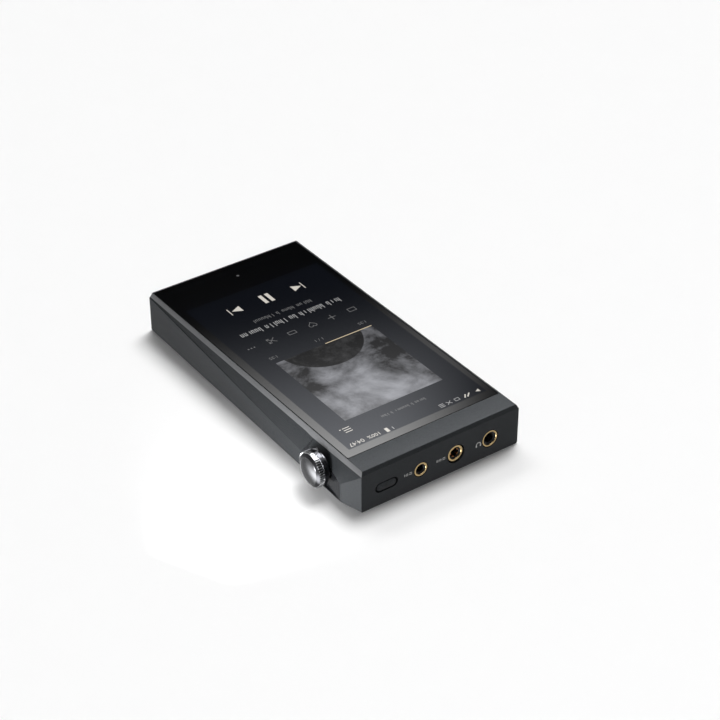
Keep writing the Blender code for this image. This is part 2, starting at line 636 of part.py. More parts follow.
# ------------------------------------------------------------------ screws
def add_screw(name, x, y, head_bottom, tip):
    """A pan-head machine screw put in from the back."""
    neck = head_bottom + SCREW_HEAD_HEIGHT
    bevel = 0.25 * SCREW_HEAD_HEIGHT
    profile = [
        (0.0, tip),
        (SCREW_RADIUS, tip),
        (SCREW_RADIUS, neck),
        (SCREW_HEAD_RADIUS, neck),
        (SCREW_HEAD_RADIUS, head_bottom + bevel),
        (SCREW_HEAD_RADIUS - bevel, head_bottom),
        (0.0, head_bottom),
    ]
    add_turned(name, profile, False, (x, y, 0.0), "Z", STEEL, 16)


def make_screws():
    for side, word in ((-1, "left"), (1, "right")):
        for row, y in enumerate(LUG_ROWS):
            add_screw(f"plate_screw_{word}_{row + 1}", side * LUG_CENTRE_X, y,
                      LUG_BOTTOM - GAP - SCREW_HEAD_HEIGHT, MID_PLATE_TOP - GAP)
        for row, y in enumerate(BOARD_SCREW_ROWS):
            add_screw(f"board_screw_{word}_{row + 1}", side * BOARD_SCREW_X, y,
                      MAIN_BOARD_BOTTOM - GAP - SCREW_HEAD_HEIGHT,
                      MID_PLATE_BOTTOM - GAP)


# ---------------------------------------------------------- boards and cell
def add_shield(name, low, high, opens_up):
    """A pressed shield can: a shallow box, open towards its board."""
    can = add_box(name, low, high, STEEL)
    inner_low = Vector(low) + Vector((SHIELD_WALL, SHIELD_WALL, SHIELD_WALL))
    inner_high = Vector(high) - Vector((SHIELD_WALL, SHIELD_WALL, SHIELD_WALL))
    if opens_up:
        inner_high.z = high[2] + 0.001
    else:
        inner_low.z = low[2] - 0.001
    boolean(can, add_box(f"cut_{name}", inner_low, inner_high))


def make_main_board():
    board = add_box("main_board",
                    (-MAIN_BOARD_HALF_WIDTH, MAIN_BOARD_FAR_Y, MAIN_BOARD_BOTTOM),
                    (MAIN_BOARD_HALF_WIDTH, MAIN_BOARD_NEAR_Y, MAIN_BOARD_TOP),
                    BOARD, radius=CORNER_RADIUS)
    for row, y in enumerate(BOARD_SCREW_ROWS):
        for side in (-1, 1):
            boolean(board, add_cylinder(
                f"cut_board_{row}_{side}",
                (side * BOARD_SCREW_X, y, MAIN_BOARD_BOTTOM), SCREW_HOLE_RADIUS,
                4 * MAIN_BOARD_THICKNESS, "Z", sides=16))
    far = MAIN_BOARD_FAR_Y + SHIELD_FROM_FAR_END
    near = far + SHIELD_LENGTH
    radio_far = near + RADIO_SHIELD_GAP
    radio_near = radio_far + RADIO_SHIELD_LENGTH
    for name, (left, right), y0, y1 in (
            ("processor_shield", PROCESSOR_SHIELD_X, far, near),
            ("power_shield", POWER_SHIELD_X, far, near),
            ("radio_shield", RADIO_SHIELD_X, radio_far, radio_near)):
        add_shield(name, (left, y0, SHIELD_BOTTOM), (right, y1, SHIELD_TOP), True)


def make_battery():
    add_box("battery", (-BATTERY_HALF_WIDTH, BATTERY_FAR_Y, BATTERY_BOTTOM),
            (BATTERY_HALF_WIDTH, BATTERY_NEAR_Y, BATTERY_TOP), CELL,
            radius=0.0016, along=1)


def make_audio_board():
    half_width = BAY_HALF_WIDTH - 2 * GAP
    add_box("audio_board",
            (-half_width, AUDIO_BOARD_FAR_Y, AUDIO_BOARD_BOTTOM),
            (half_width, AUDIO_BOARD_NEAR_Y, AUDIO_BOARD_TOP), BOARD,
            radius=CORNER_RADIUS)
    near = HALF_LENGTH - END_WALL - GAP - JACK_BODY_DEPTH - 2 * GAP
    bottom = AUDIO_BOARD_TOP + GAP
    for word, x in CONVERTER_SHIELDS:
        add_shield(f"converter_shield_{word}",
                   (x - CONVERTER_HALF_WIDTH, near - CONVERTER_LENGTH, bottom),
                   (x + CONVERTER_HALF_WIDTH, near, bottom + SHIELD_HEIGHT), False)


def make_tube():
    """The flat vacuum tube of the output stage, between rubber dampers."""
    bottom = AUDIO_BOARD_TOP + GAP
    half_length = TUBE_LENGTH / 2
    half_width = TUBE_WIDTH / 2
    reach = half_length + GAP + DAMPER_THICKNESS
    add_box("tube_carrier",
            (TUBE_X - reach, TUBE_Y - half_width, bottom),
            (TUBE_X + reach, TUBE_Y + half_width,
             bottom + TUBE_CARRIER_THICKNESS), PLASTIC)
    add_box("vacuum_tube",
            (TUBE_X - half_length, TUBE_Y - half_width, TUBE_BOTTOM),
            (TUBE_X + half_length, TUBE_Y + half_width,
             TUBE_BOTTOM + TUBE_THICKNESS), TUBE, radius=0.0012, along=0)
    for side, word in ((-1, "left"), (1, "right")):
        inner = TUBE_X + side * (half_length + GAP)
        outer = TUBE_X + side * reach
        add_box(f"tube_damper_{word}",
                (min(inner, outer), TUBE_Y - half_width, TUBE_BOTTOM),
                (max(inner, outer), TUBE_Y + half_width,
                 TUBE_BOTTOM + TUBE_THICKNESS), RUBBER, radius=0.0008, along=0)


# ------------------------------------------------------------ flex cables
def add_flex(name, path, half_width, x=0.0):
    """A flat printed cable that follows (y, z) points across its width."""
    mesh = bpy.data.meshes.new(name)
    points = []
    for y, z in path:
        points.append((x - half_width, y, z))
        points.append((x + half_width, y, z))
    faces = []
    for i in range(len(path) - 1):
        faces.append((2 * i, 2 * i + 1, 2 * i + 3, 2 * i + 2))
    mesh.from_pydata(points, [], faces)
    flex = add_object(name, mesh, FLEX)
    solidify = flex.modifiers.new("thickness", "SOLIDIFY")
    solidify.thickness = FLEX_THICKNESS
    solidify.offset = 0.0
    return flex


def s_curve(start, end, steps=8):
    """Points of a smooth S between two ends that lie flat in Y."""
    points = []
    for i in range(steps + 1):
        t = i / steps
        ease = t * t * (3 - 2 * t)
        points.append((start[0] + (end[0] - start[0]) * t,
                       start[1] + (end[1] - start[1]) * ease))
    return points


def make_flexes():
    display_z = DISPLAY_TOP - DISPLAY_THICKNESS / 2
    board_z = MAIN_BOARD_TOP + GAP + FLEX_THICKNESS
    add_flex("display_flex", s_curve(
        (DISPLAY_FAR_Y - GAP, display_z),
        (DISPLAY_FLEX_SLOT_FAR_Y + 2 * GAP, board_z)), DISPLAY_FLEX_HALF_WIDTH)
    add_flex("audio_flex", s_curve(
        (TUBE_Y - TUBE_WIDTH / 2 - 2 * GAP,
         AUDIO_BOARD_TOP + GAP + FLEX_THICKNESS),
        (BATTERY_NEAR_Y + 2 * GAP,
         MAIN_BOARD_BOTTOM - GAP - FLEX_THICKNESS)),
        AUDIO_FLEX_HALF_WIDTH, x=AUDIO_FLEX_X)


# --------------------------------------------------------------- the wheel
def make_wheel():
    location = (0.0, WHEEL_Y, MIDDLE_Z)
    add_turned("volume_wheel", [
        (KNURL_RADIUS - KNURL_BEVEL, KNURL_FRONT_X),
        (KNURL_RADIUS, KNURL_FRONT_X - KNURL_BEVEL),
        (KNURL_RADIUS, KNURL_BACK_X + KNURL_BEVEL),
        (KNURL_RADIUS - 2 * KNURL_BEVEL, KNURL_BACK_X),
        (SKIRT_RADIUS, KNURL_BACK_X),
        (SKIRT_RADIUS, SKIRT_BACK_X),
        (BORE_RADIUS, SKIRT_BACK_X),
        (BORE_RADIUS, KNURL_FRONT_X),
    ], True, location, "X", POLISHED, 48)
    face_drop = CAP_HEIGHT * 0.3
    add_turned("wheel_cap", [
        (0.0, CAP_OUTER_X),
        (CAP_FACE_RADIUS * 0.35, CAP_OUTER_X - face_drop * 0.12),
        (CAP_FACE_RADIUS * 0.7, CAP_OUTER_X - face_drop * 0.5),
        (CAP_FACE_RADIUS, CAP_OUTER_X - face_drop),
        (CAP_FACE_RADIUS + 0.0007, CAP_OUTER_X - CAP_HEIGHT * 0.45),
        (WHEEL_RADIUS - 0.0004, CAP_OUTER_X - CAP_HEIGHT * 0.7),
        (WHEEL_RADIUS, CAP_OUTER_X - CAP_HEIGHT * 0.86),
        (WHEEL_RADIUS - 0.0002, CAP_BACK_X),
        (0.0, CAP_BACK_X),
    ], False, location, "X", POLISHED, 48)
    shaft_back = ENCODER_FACE_X - ENCODER_DEPTH + 3 * GAP
    add_turned("wheel_shaft", [
        (0.0, CAP_BACK_X - GAP),
        (SHAFT_RADIUS, CAP_BACK_X - GAP),
        (SHAFT_RADIUS, shaft_back),
        (0.0, shaft_back),
    ], False, location, "X", STEEL, 20)
    add_turned("shaft_bushing", [
        (BUSHING_RADIUS, NOTCH_DEEP_X),
        (BUSHING_RADIUS, ENCODER_FACE_X + GAP),
        (BUSHING_BORE, ENCODER_FACE_X + GAP),
        (BUSHING_BORE, NOTCH_DEEP_X),
    ], True, location, "X", BRASS, 24)
    encoder = add_box(
        "rotary_encoder",
        (ENCODER_FACE_X - ENCODER_DEPTH, WHEEL_Y - ENCODER_WIDTH / 2,
         MIDDLE_Z - ENCODER_HEIGHT / 2),
        (ENCODER_FACE_X, WHEEL_Y + ENCODER_WIDTH / 2,
         MIDDLE_Z + ENCODER_HEIGHT / 2), STEEL, radius=0.0006, along=0)
    boolean(encoder, add_cylinder(
        "cut_encoder", (ENCODER_FACE_X, WHEEL_Y, MIDDLE_Z), BORE_RADIUS,
        2 * (ENCODER_DEPTH - GAP), "X", sides=20))


# ------------------------------------------------------------------- jacks
def make_jacks():
    for name, x, bore, inner, outer, recess in JACKS:
        front = -COLLAR_SET_BACK - recess
        add_turned(f"{name}_collar", [
            (inner + COLLAR_BEVEL, front),
            (outer - COLLAR_BEVEL, front),
            (outer, front - COLLAR_BEVEL),
            (outer, -COLLAR_DEPTH),
            (inner, -COLLAR_DEPTH),
            (inner, front - COLLAR_BEVEL),
        ], True, (x, HALF_LENGTH, JACK_Z), "Y", GOLD, 32)
        near = BAY_NEAR_Y - GAP
        body = add_box(
            name, (x - JACK_BODY_WIDTH / 2, near - JACK_BODY_DEPTH,
                   JACK_Z - JACK_BODY_HEIGHT / 2),
            (x + JACK_BODY_WIDTH / 2, near, JACK_Z + JACK_BODY_HEIGHT / 2),
            PLASTIC)
        boolean(body, add_cylinder(
            f"cut_{name}_barrel", (x, near, JACK_Z), bore,
            2 * (JACK_BODY_DEPTH - JACK_BLIND_WALL), "Y", sides=24))


# ----------------------------------------------------------------- buttons
def make_power_button():
    front = HALF_LENGTH - POWER_RECESS
    flange_front = BAY_NEAR_Y - GAP
    flange_back = flange_front - BUTTON_FLANGE_THICKNESS
    depth = front - flange_back - BUTTON_FLANGE_THICKNESS / 2
    button = add_stadium(
        "power_button", (0.0, -depth / 2, 0.0), POWER_LENGTH, POWER_HEIGHT,
        depth, 1, ALUMINIUM)
    button.location = (POWER_X, front, JACK_Z)
    flange = add_stadium(
        "power_button_flange",
        (POWER_X, (flange_front + flange_back) / 2, JACK_Z),
        POWER_LENGTH + 2 * BUTTON_FLANGE, POWER_HEIGHT + 2 * BUTTON_FLANGE,
        BUTTON_FLANGE_THICKNESS, 1)
    boolean(button, flange, "UNION")
    dimple = add_cylinder("cut_power_dimple", (POWER_X, front, JACK_Z),
                          POWER_DIMPLE_RADIUS, 2 * POWER_DIMPLE_DEPTH, "Y",
                          sides=16)
    boolean(button, dimple)
    switch_front = flange_back - BUTTON_TRAVEL - GAP
    add_box("power_switch",
            (POWER_X - POWER_SWITCH_HALF_WIDTH, switch_front - SWITCH_DEPTH,
             JACK_Z - POWER_SWITCH_HALF_HEIGHT),
            (POWER_X + POWER_SWITCH_HALF_WIDTH, switch_front,
             JACK_Z + POWER_SWITCH_HALF_HEIGHT), PLASTIC)
    board_front = switch_front - SWITCH_DEPTH - GAP
    add_box("power_switch_board",
            (POWER_X - POWER_BOARD_HALF_WIDTH, board_front - SWITCH_BOARD_THICKNESS,
             AUDIO_BOARD_TOP + GAP),
            (POWER_X + POWER_BOARD_HALF_WIDTH, board_front,
             JACK_Z + POWER_BOARD_RISE), BOARD)


def make_side_buttons():
    flange_outer = -BAY_HALF_WIDTH + GAP
    flange_inner = flange_outer + BUTTON_FLANGE_THICKNESS
    switch_outer = flange_inner + BUTTON_TRAVEL + GAP
    switch_inner = switch_outer + SIDE_SWITCH_DEPTH
    for name, from_end, length, proud in SIDE_BUTTONS:
        y = HALF_LENGTH - from_end
        face = LEFT_FACE_X - proud
        depth = flange_inner - BUTTON_FLANGE_THICKNESS / 2 - face
        button = add_stadium(name, (depth / 2, 0.0, 0.0), length,
                             SIDE_BUTTON_HEIGHT, depth, 0, ALUMINIUM)
        button.location = (face, y, MIDDLE_Z)
        flange = add_stadium(
            f"{name}_flange", ((flange_outer + flange_inner) / 2, y, MIDDLE_Z),
            length + 2 * BUTTON_FLANGE, SIDE_BUTTON_HEIGHT + 2 * BUTTON_FLANGE,
            BUTTON_FLANGE_THICKNESS, 0)
        boolean(button, flange, "UNION")
        word = name.replace("button", "switch")
        add_box(word,
                (switch_outer, y - SIDE_SWITCH_HALF_LENGTH,
                 MIDDLE_Z - SIDE_SWITCH_HALF_HEIGHT),
                (switch_inner, y + SIDE_SWITCH_HALF_LENGTH,
                 MIDDLE_Z + SIDE_SWITCH_HALF_HEIGHT), PLASTIC)
    first = HALF_LENGTH - SIDE_BUTTONS[0][1]
    last = HALF_LENGTH - SIDE_BUTTONS[-1][1]
    add_box("side_switch_board",
            (switch_inner + GAP, first - SIDE_BOARD_MARGIN,
             MIDDLE_Z - SIDE_BOARD_DROP),
            (switch_inner + GAP + SIDE_BOARD_THICKNESS, last + SIDE_BOARD_MARGIN,
             MAIN_BOARD_BOTTOM - GAP), BOARD)


# -------------------------------------------------------- the charging end
def make_usb_port():
    mouth = -HALF_LENGTH + GAP
    back = mouth + USB_DEPTH
    shell = add_stadium("usb_shell", (0.0, (mouth + back) / 2, USB_Z),
                        USB_WIDTH, USB_HEIGHT, USB_DEPTH, 1, STEEL)
    boolean(shell, add_stadium(
        "cut_usb_shell", (0.0, mouth + USB_DEPTH / 2 - 2 * USB_WALL, USB_Z),
        USB_WIDTH - 2 * USB_WALL, USB_HEIGHT - 2 * USB_WALL, USB_DEPTH, 1))
    tongue_back = back - 2 * USB_WALL - GAP
    add_box("usb_tongue",
            (-TONGUE_WIDTH / 2, tongue_back - TONGUE_LENGTH,
             USB_Z - TONGUE_HEIGHT / 2),
            (TONGUE_WIDTH / 2, tongue_back, USB_Z + TONGUE_HEIGHT / 2), PLASTIC)


def make_card_slot():
    mouth = BAY_FAR_Y + GAP
    back = mouth + CARD_SHELL_DEPTH
    half = Vector((CARD_SHELL_WIDTH / 2, 0.0, CARD_SHELL_HEIGHT / 2))
    low = Vector((CARD_X, mouth, CARD_Z)) - half
    high = Vector((CARD_X, back, CARD_Z)) + half
    shell = add_box("card_slot", low, high, STEEL)
    wall = Vector((CARD_SHELL_WALL, 0.001, CARD_SHELL_WALL))
    inner_high = high - wall
    inner_high.y = back - CARD_SHELL_WALL
    boolean(shell, add_box("cut_card_shell", low + wall - Vector((0, 0.002, 0)),
                           inner_high))


make_chassis()
make_front()
make_mid_plate()
make_back()
make_main_board()
make_battery()
make_audio_board()
make_tube()
make_flexes()
make_wheel()
make_jacks()
make_power_button()
make_side_buttons()
make_usb_port()
make_card_slot()
make_screws()
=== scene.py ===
import math
import random

import bmesh
import bpy
from mathutils import Matrix, Vector


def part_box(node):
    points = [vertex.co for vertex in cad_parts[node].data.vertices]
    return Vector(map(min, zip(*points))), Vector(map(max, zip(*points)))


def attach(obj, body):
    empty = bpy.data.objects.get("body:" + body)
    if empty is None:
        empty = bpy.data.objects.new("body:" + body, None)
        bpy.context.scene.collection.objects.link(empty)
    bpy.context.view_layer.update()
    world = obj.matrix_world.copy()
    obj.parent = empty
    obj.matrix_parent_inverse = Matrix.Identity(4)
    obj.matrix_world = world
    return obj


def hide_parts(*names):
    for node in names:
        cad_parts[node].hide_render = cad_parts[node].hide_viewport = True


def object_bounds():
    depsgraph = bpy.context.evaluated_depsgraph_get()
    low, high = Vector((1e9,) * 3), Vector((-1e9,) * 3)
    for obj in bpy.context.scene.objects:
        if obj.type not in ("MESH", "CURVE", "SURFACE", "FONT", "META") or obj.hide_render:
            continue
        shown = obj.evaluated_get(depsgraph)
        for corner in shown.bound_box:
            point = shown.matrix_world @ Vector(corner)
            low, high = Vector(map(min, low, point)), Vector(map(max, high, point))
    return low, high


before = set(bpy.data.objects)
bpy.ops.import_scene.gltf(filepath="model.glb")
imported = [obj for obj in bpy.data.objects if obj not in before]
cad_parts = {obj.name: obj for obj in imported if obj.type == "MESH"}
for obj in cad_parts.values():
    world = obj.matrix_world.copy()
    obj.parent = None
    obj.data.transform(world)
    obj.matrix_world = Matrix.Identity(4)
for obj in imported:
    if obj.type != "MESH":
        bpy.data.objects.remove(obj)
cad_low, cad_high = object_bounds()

# ------------------------------------------------------------------ body shell
# The milled aluminium body, bead-blasted and anodised dark grey.  It is one
# piece with the side walls, the jack strip and the ledges for the glass, and
# its outer edges are broken by a hair's breadth so that they catch the light.
MM = 0.001
SAME_POINT = 0.002 * MM       # loose corners closer than this are one corner
EDGE_BREAK = 0.13 * MM        # width of the flat that breaks an outer edge
BREAK_ANGLE = 9.0             # edges that turn by less stay as they are, degrees
LONG_EDGE = 1.8 * MM          # and so do edges shorter than this
BASE_Z = (0.2 * MM, 0.4 * MM)       # and those of the bevel round the base
SIDE_X = (-34.2 * MM, 33.5 * MM)    # outer edges lie past these, from the middle
END_Y = (0.5 * MM, 0.9 * MM)  # or this close to the charging end and the jack end
PRINT_SET_BACK = 0.008 * MM   # the jack end's face, behind what is printed on it
# the faces of the wheel's notch, which are given painted shade, lie within these
NOTCH_X = 35.4 * MM           # the wheel's notch is past this, from the middle,
NOTCH_Y = (38.5 * MM, 61.4 * MM)    # between these along the body,
NOTCH_TOP = 0.1 * MM          # this far below the top,
NOTCH_SILL = (0.5 * MM, 1.2 * MM)   # and its sill is between these heights
RIM_DEPTH = 2.45 * MM         # the rim given the painted highlight ends this far below the top
RIM_REACH = 34.95 * MM        # and this far from the middle
RIM_ACROSS = (0.5, 0.99)      # how far its faces turn outwards
RIM_UP = (0.2, 0.8)           # and upwards
TOP_Z = cad_high.z
JACK_END_Y = cad_high.y


def put(tree, kind, **settings):
    """Add a node; each setting is a property, or an input by its name."""
    node = tree.nodes.new(kind)
    for key, value in settings.items():
        if hasattr(node, key):
            setattr(node, key, value)
        else:
            node.inputs[key.replace("_", " ")].default_value = value
    return node


def grain_group():
    """Fine blasted grain over slow mottling, for metals and plastics."""
    group = bpy.data.node_groups.new("fine grain", "ShaderNodeTree")
    face = group.interface
    for name, kind, default in (
            ("Vector", "NodeSocketVector", None),
            ("Colour", "NodeSocketColor", (0.1, 0.1, 0.1, 1.0)),
            ("Roughness", "NodeSocketFloat", 0.4),
            ("Grain", "NodeSocketFloat", 0.15),
            ("Grain Scale", "NodeSocketFloat", 9000.0),
            ("Mottling", "NodeSocketFloat", 0.08),
            ("Mottling Scale", "NodeSocketFloat", 60.0)):
        socket = face.new_socket(name, in_out="INPUT", socket_type=kind)
        if default is not None:
            socket.default_value = default
    face.new_socket("Colour", in_out="OUTPUT", socket_type="NodeSocketColor")
    face.new_socket("Roughness", in_out="OUTPUT", socket_type="NodeSocketFloat")
    face.new_socket("Height", in_out="OUTPUT", socket_type="NodeSocketFloat")
    link = group.links.new
    given = put(group, "NodeGroupInput")
    result = put(group, "NodeGroupOutput")
    fine = put(group, "ShaderNodeTexNoise", Detail=2.0, Roughness=0.6)
    slow = put(group, "ShaderNodeTexNoise", Detail=3.0, Roughness=0.5)
    for noise, scale in ((fine, "Grain Scale"), (slow, "Mottling Scale")):
        link(given.outputs["Vector"], noise.inputs["Vector"])
        link(given.outputs[scale], noise.inputs["Scale"])

    def swing(noise, amount):
        """1 plus or minus the noise times its amount."""
        centred = put(group, "ShaderNodeMath", operation="SUBTRACT")
        centred.inputs[1].default_value = 0.5
        link(noise.outputs["Fac"], centred.inputs[0])
        scaled = put(group, "ShaderNodeMath", operation="MULTIPLY_ADD")
        link(centred.outputs[0], scaled.inputs[0])
        link(given.outputs[amount], scaled.inputs[1])
        scaled.inputs[2].default_value = 1.0
        return scaled.outputs[0]

    both = put(group, "ShaderNodeMath", operation="MULTIPLY")
    link(swing(fine, "Grain"), both.inputs[0])
    link(swing(slow, "Mottling"), both.inputs[1])
    shade = put(group, "ShaderNodeVectorMath", operation="SCALE")
    link(given.outputs["Colour"], shade.inputs[0])
    link(both.outputs[0], shade.inputs["Scale"])
    rough = put(group, "ShaderNodeMath", operation="MULTIPLY")
    link(given.outputs["Roughness"], rough.inputs[0])
    link(both.outputs[0], rough.inputs[1])
    link(shade.outputs[0], result.inputs["Colour"])
    link(rough.outputs[0], result.inputs["Roughness"])
    link(fine.outputs["Fac"], result.inputs["Height"])
    return group


FINE_GRAIN = grain_group()


def finish_of(name, colour, roughness, metallic=0.0, grain=0.15, grain_scale=9000.0,
              mottling=0.08, mottling_scale=60.0, bump=0.15, bump_depth=0.00001,
              **constants):
    """A Principled finish whose colour, roughness and bump come from the grain."""
    material = bpy.data.materials.new(name)
    material.use_nodes = True
    tree = material.node_tree
    shader = tree.nodes["Principled BSDF"]
    shader.inputs["Metallic"].default_value = metallic
    for key, value in constants.items():
        shader.inputs[key.replace("_", " ")].default_value = value
    where = put(tree, "ShaderNodeTexCoord")
    grainy = put(tree, "ShaderNodeGroup", node_tree=FINE_GRAIN)
    grainy.name = "grain"
    for key, value in (("Colour", (*colour, 1.0)), ("Roughness", roughness),
                       ("Grain", grain), ("Grain Scale", grain_scale),
                       ("Mottling", mottling), ("Mottling Scale", mottling_scale)):
        grainy.inputs[key].default_value = value
    relief = put(tree, "ShaderNodeBump", Strength=bump, Distance=bump_depth)
    link = tree.links.new
    link(where.outputs["Object"], grainy.inputs["Vector"])
    link(grainy.outputs["Colour"], shader.inputs["Base Color"])
    link(grainy.outputs["Roughness"], shader.inputs["Roughness"])
    link(grainy.outputs["Height"], relief.inputs["Height"])
    link(relief.outputs["Normal"], shader.inputs["Normal"])
    return material


BLASTED = finish_of("blasted dark aluminium", (0.033, 0.0355, 0.0385), 0.40, 0.15,
                    grain=1.8, grain_scale=3600.0, mottling=0.12, bump=1.0,
                    bump_depth=0.00011, Specular_IOR_Level=0.22,
                    Specular_Tint=(0.90, 0.95, 1.0, 1.0))
# painted highlight: a brighter, more metallic copy of the aluminium on the rim's faces
# that turn outwards and upwards, standing in for the light band along the glass
RIM_PAINTED_HIGHLIGHT = finish_of("rim painted highlight", (0.250, 0.254, 0.262), 0.34, 0.45, grain=0.35,
                       grain_scale=3500.0, bump=0.15, Specular_IOR_Level=0.5)
# painted shade: the walls and sill of the wheel's notch get a glossier, more metallic copy
# of the aluminium that renders darker, standing in for the shade round the wheel
NOTCH_PAINTED_SHADE = finish_of("notch painted shade", (0.035, 0.037, 0.042), 0.22, 0.6,
                        grain=0.2, bump=0.05)


def set_finish(names, material):
    """Give CAD nodes a finish."""
    for name in names:
        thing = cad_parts[name]
        for place in thing.material_slots:
            place.material = material


def crisp(mesh, degrees=28.0):
    """Smooth shading with sharp edges kept."""
    bm = bmesh.new()
    bm.from_mesh(mesh)
    limit = math.radians(degrees)
    for edge in bm.edges:
        edge.smooth = edge.is_manifold and edge.calc_face_angle(math.pi) < limit
    for face in bm.faces:
        face.smooth = True
    bm.to_mesh(mesh)
    bm.free()


def new_piece(name, mesh, body, slot, *materials):
    """Link a finished piece with its materials, and attach it to what it rides on; the
    slot is not used.
    """
    piece = bpy.data.objects.new(name, mesh)
    bpy.context.scene.collection.objects.link(piece)
    for material in materials:
        mesh.materials.append(material)
    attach(piece, body)
    return piece


def in_shaded_notch(face):
    """True for a face that the wheel's notch cut: its walls and its sill, which are given
    the painted shade.
    """
    middle = face.calc_center_median()
    beside_wheel = (middle.x - CENTRE_X > NOTCH_X
                    and NOTCH_Y[0] < middle.y < NOTCH_Y[1])
    wall = (middle.z < TOP_Z - NOTCH_TOP and abs(face.normal.z) < 0.5
            and abs(face.normal.y) > 0.1)
    sill = NOTCH_SILL[0] < middle.z < NOTCH_SILL[1]
    return beside_wheel and (wall or sill)


def on_highlit_rim(face):
    """True for a face of the rim along the glass, over the faceted side, which is given
    the painted highlight.
    """
    middle = face.calc_center_median()
    return (RIM_ACROSS[0] < face.normal.x < RIM_ACROSS[1]
            and RIM_UP[0] < face.normal.z < RIM_UP[1]
            and middle.z > TOP_Z - RIM_DEPTH and middle.x - CENTRE_X < RIM_REACH)


glass_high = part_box("front_glass")[1]
display_low, display_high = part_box("display_module")
CENTRE_X = (display_low.x + display_high.x) / 2

shell_form = bmesh.new()
shell_form.from_mesh(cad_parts["chassis"].data)
bmesh.ops.remove_doubles(shell_form, verts=shell_form.verts, dist=SAME_POINT)
bmesh.ops.dissolve_limit(shell_form, angle_limit=math.radians(0.5),
                         verts=shell_form.verts, edges=shell_form.edges)
breaks = [edge for edge in shell_form.edges
          if edge.is_manifold and edge.is_convex
          and edge.calc_face_angle(0.0) > math.radians(BREAK_ANGLE)
          and edge.calc_length() > LONG_EDGE
          and all(v.co.z > BASE_Z[0] for v in edge.verts)
          and any(v.co.z > BASE_Z[1] for v in edge.verts)]
outer_edges = [edge for edge in breaks
               if min(v.co.x for v in edge.verts) > CENTRE_X + SIDE_X[1]
               or max(v.co.x for v in edge.verts) < CENTRE_X + SIDE_X[0]
               or min(v.co.y for v in edge.verts) > JACK_END_Y - END_Y[1]
               or max(v.co.y for v in edge.verts) < cad_low.y + END_Y[0]]
bmesh.ops.bevel(shell_form, geom=outer_edges, offset=EDGE_BREAK, offset_type="OFFSET",
                segments=2, profile=0.6, affect="EDGES", clamp_overlap=True)
for vertex in shell_form.verts:
    if vertex.co.y > JACK_END_Y - SAME_POINT:
        vertex.co.y -= PRINT_SET_BACK
bmesh.ops.triangulate(shell_form, faces=shell_form.faces)
for face in shell_form.faces:
    # faces in the wheel's notch take the painted shade (index 1), the rim's outward faces
    # the painted highlight (index 2)
    face.material_index = 1 if in_shaded_notch(face) else 2 if on_highlit_rim(face) else 0
shell_mesh = bpy.data.meshes.new("body_shell")
shell_form.to_mesh(shell_mesh)
shell_form.free()
crisp(shell_mesh, 20.0)
shell = new_piece("body_shell", shell_mesh, "player_body", "blasted_aluminium",
                  BLASTED, NOTCH_PAINTED_SHADE, RIM_PAINTED_HIGHLIGHT)
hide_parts("chassis")

# ------------------------------------------------------ plates, boards and cell
# Inside the body a pressed steel plate carries the boards.  Shield cans of
# tinned steel cover the chips, and a foil pouch cell lies under the back cover.
PRESSED_STEEL = finish_of("pressed steel", (0.55, 0.55, 0.56), 0.34, 1.0, grain=0.25,
                          grain_scale=3000.0, mottling=0.15)
TINNED = finish_of("tinned shield", (0.66, 0.66, 0.64), 0.30, 1.0, grain=0.12,
                   grain_scale=2500.0, mottling=0.25, mottling_scale=140.0)
ZINC_SCREW = finish_of("blackened screw", (0.10, 0.10, 0.105), 0.36, 1.0, grain=0.2)
SOLDER_MASK = finish_of("solder mask", (0.008, 0.030, 0.045), 0.38, 0.0, grain=0.5,
                        grain_scale=1400.0, mottling=0.3, mottling_scale=300.0)
CELL_FOIL = finish_of("cell foil", (0.32, 0.33, 0.35), 0.42, 0.35, grain=0.1,
                      mottling=0.35, mottling_scale=90.0, bump=0.3,
                      bump_depth=0.00005)
AMBER_FILM = finish_of("amber film", (0.42, 0.17, 0.03), 0.35, 0.0, grain=0.3,
                       grain_scale=1800.0, mottling=0.2)
SOFT_FOAM = finish_of("seal foam", (0.022, 0.022, 0.022), 0.85, 0.0, grain=1.0,
                      grain_scale=3500.0, bump=0.5, bump_depth=0.00004)
MOULDED = finish_of("moulded black plastic", (0.016, 0.016, 0.017), 0.45, 0.0,
                    grain=0.6, grain_scale=4500.0, bump=0.3)
TURNED_BRASS = finish_of("turned brass", (0.72, 0.53, 0.26), 0.28, 1.0, grain=0.3,
                         grain_scale=5000.0, mottling=0.15)
TUBE_GLASS = finish_of("tube glass", (0.55, 0.62, 0.62), 0.05, 0.0, grain=0.0,
                       mottling=0.15, bump=0.0, Transmission_Weight=0.75, IOR=1.47)
set_finish(["mid_plate", "rotary_encoder", "usb_shell", "card_slot"], PRESSED_STEEL)
set_finish(["processor_shield", "power_shield", "radio_shield",
            "converter_shield_left", "converter_shield_right"], TINNED)
set_finish([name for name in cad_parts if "_screw_" in name], ZINC_SCREW)
set_finish(["main_board", "audio_board", "power_switch_board", "side_switch_board"],
           SOLDER_MASK)
set_finish(["battery"], CELL_FOIL)
set_finish(["display_flex", "audio_flex"], AMBER_FILM)
set_finish(["display_gasket", "back_cover_tape", "tube_damper_left",
            "tube_damper_right"], SOFT_FOAM)
set_finish(["display_module", "tube_carrier", "jack_small_balanced",
            "jack_large_balanced", "jack_headphone", "power_switch",
            "previous_switch", "play_switch", "next_switch", "usb_tongue"], MOULDED)
set_finish(["shaft_bushing"], TURNED_BRASS)
set_finish(["vacuum_tube"], TUBE_GLASS)

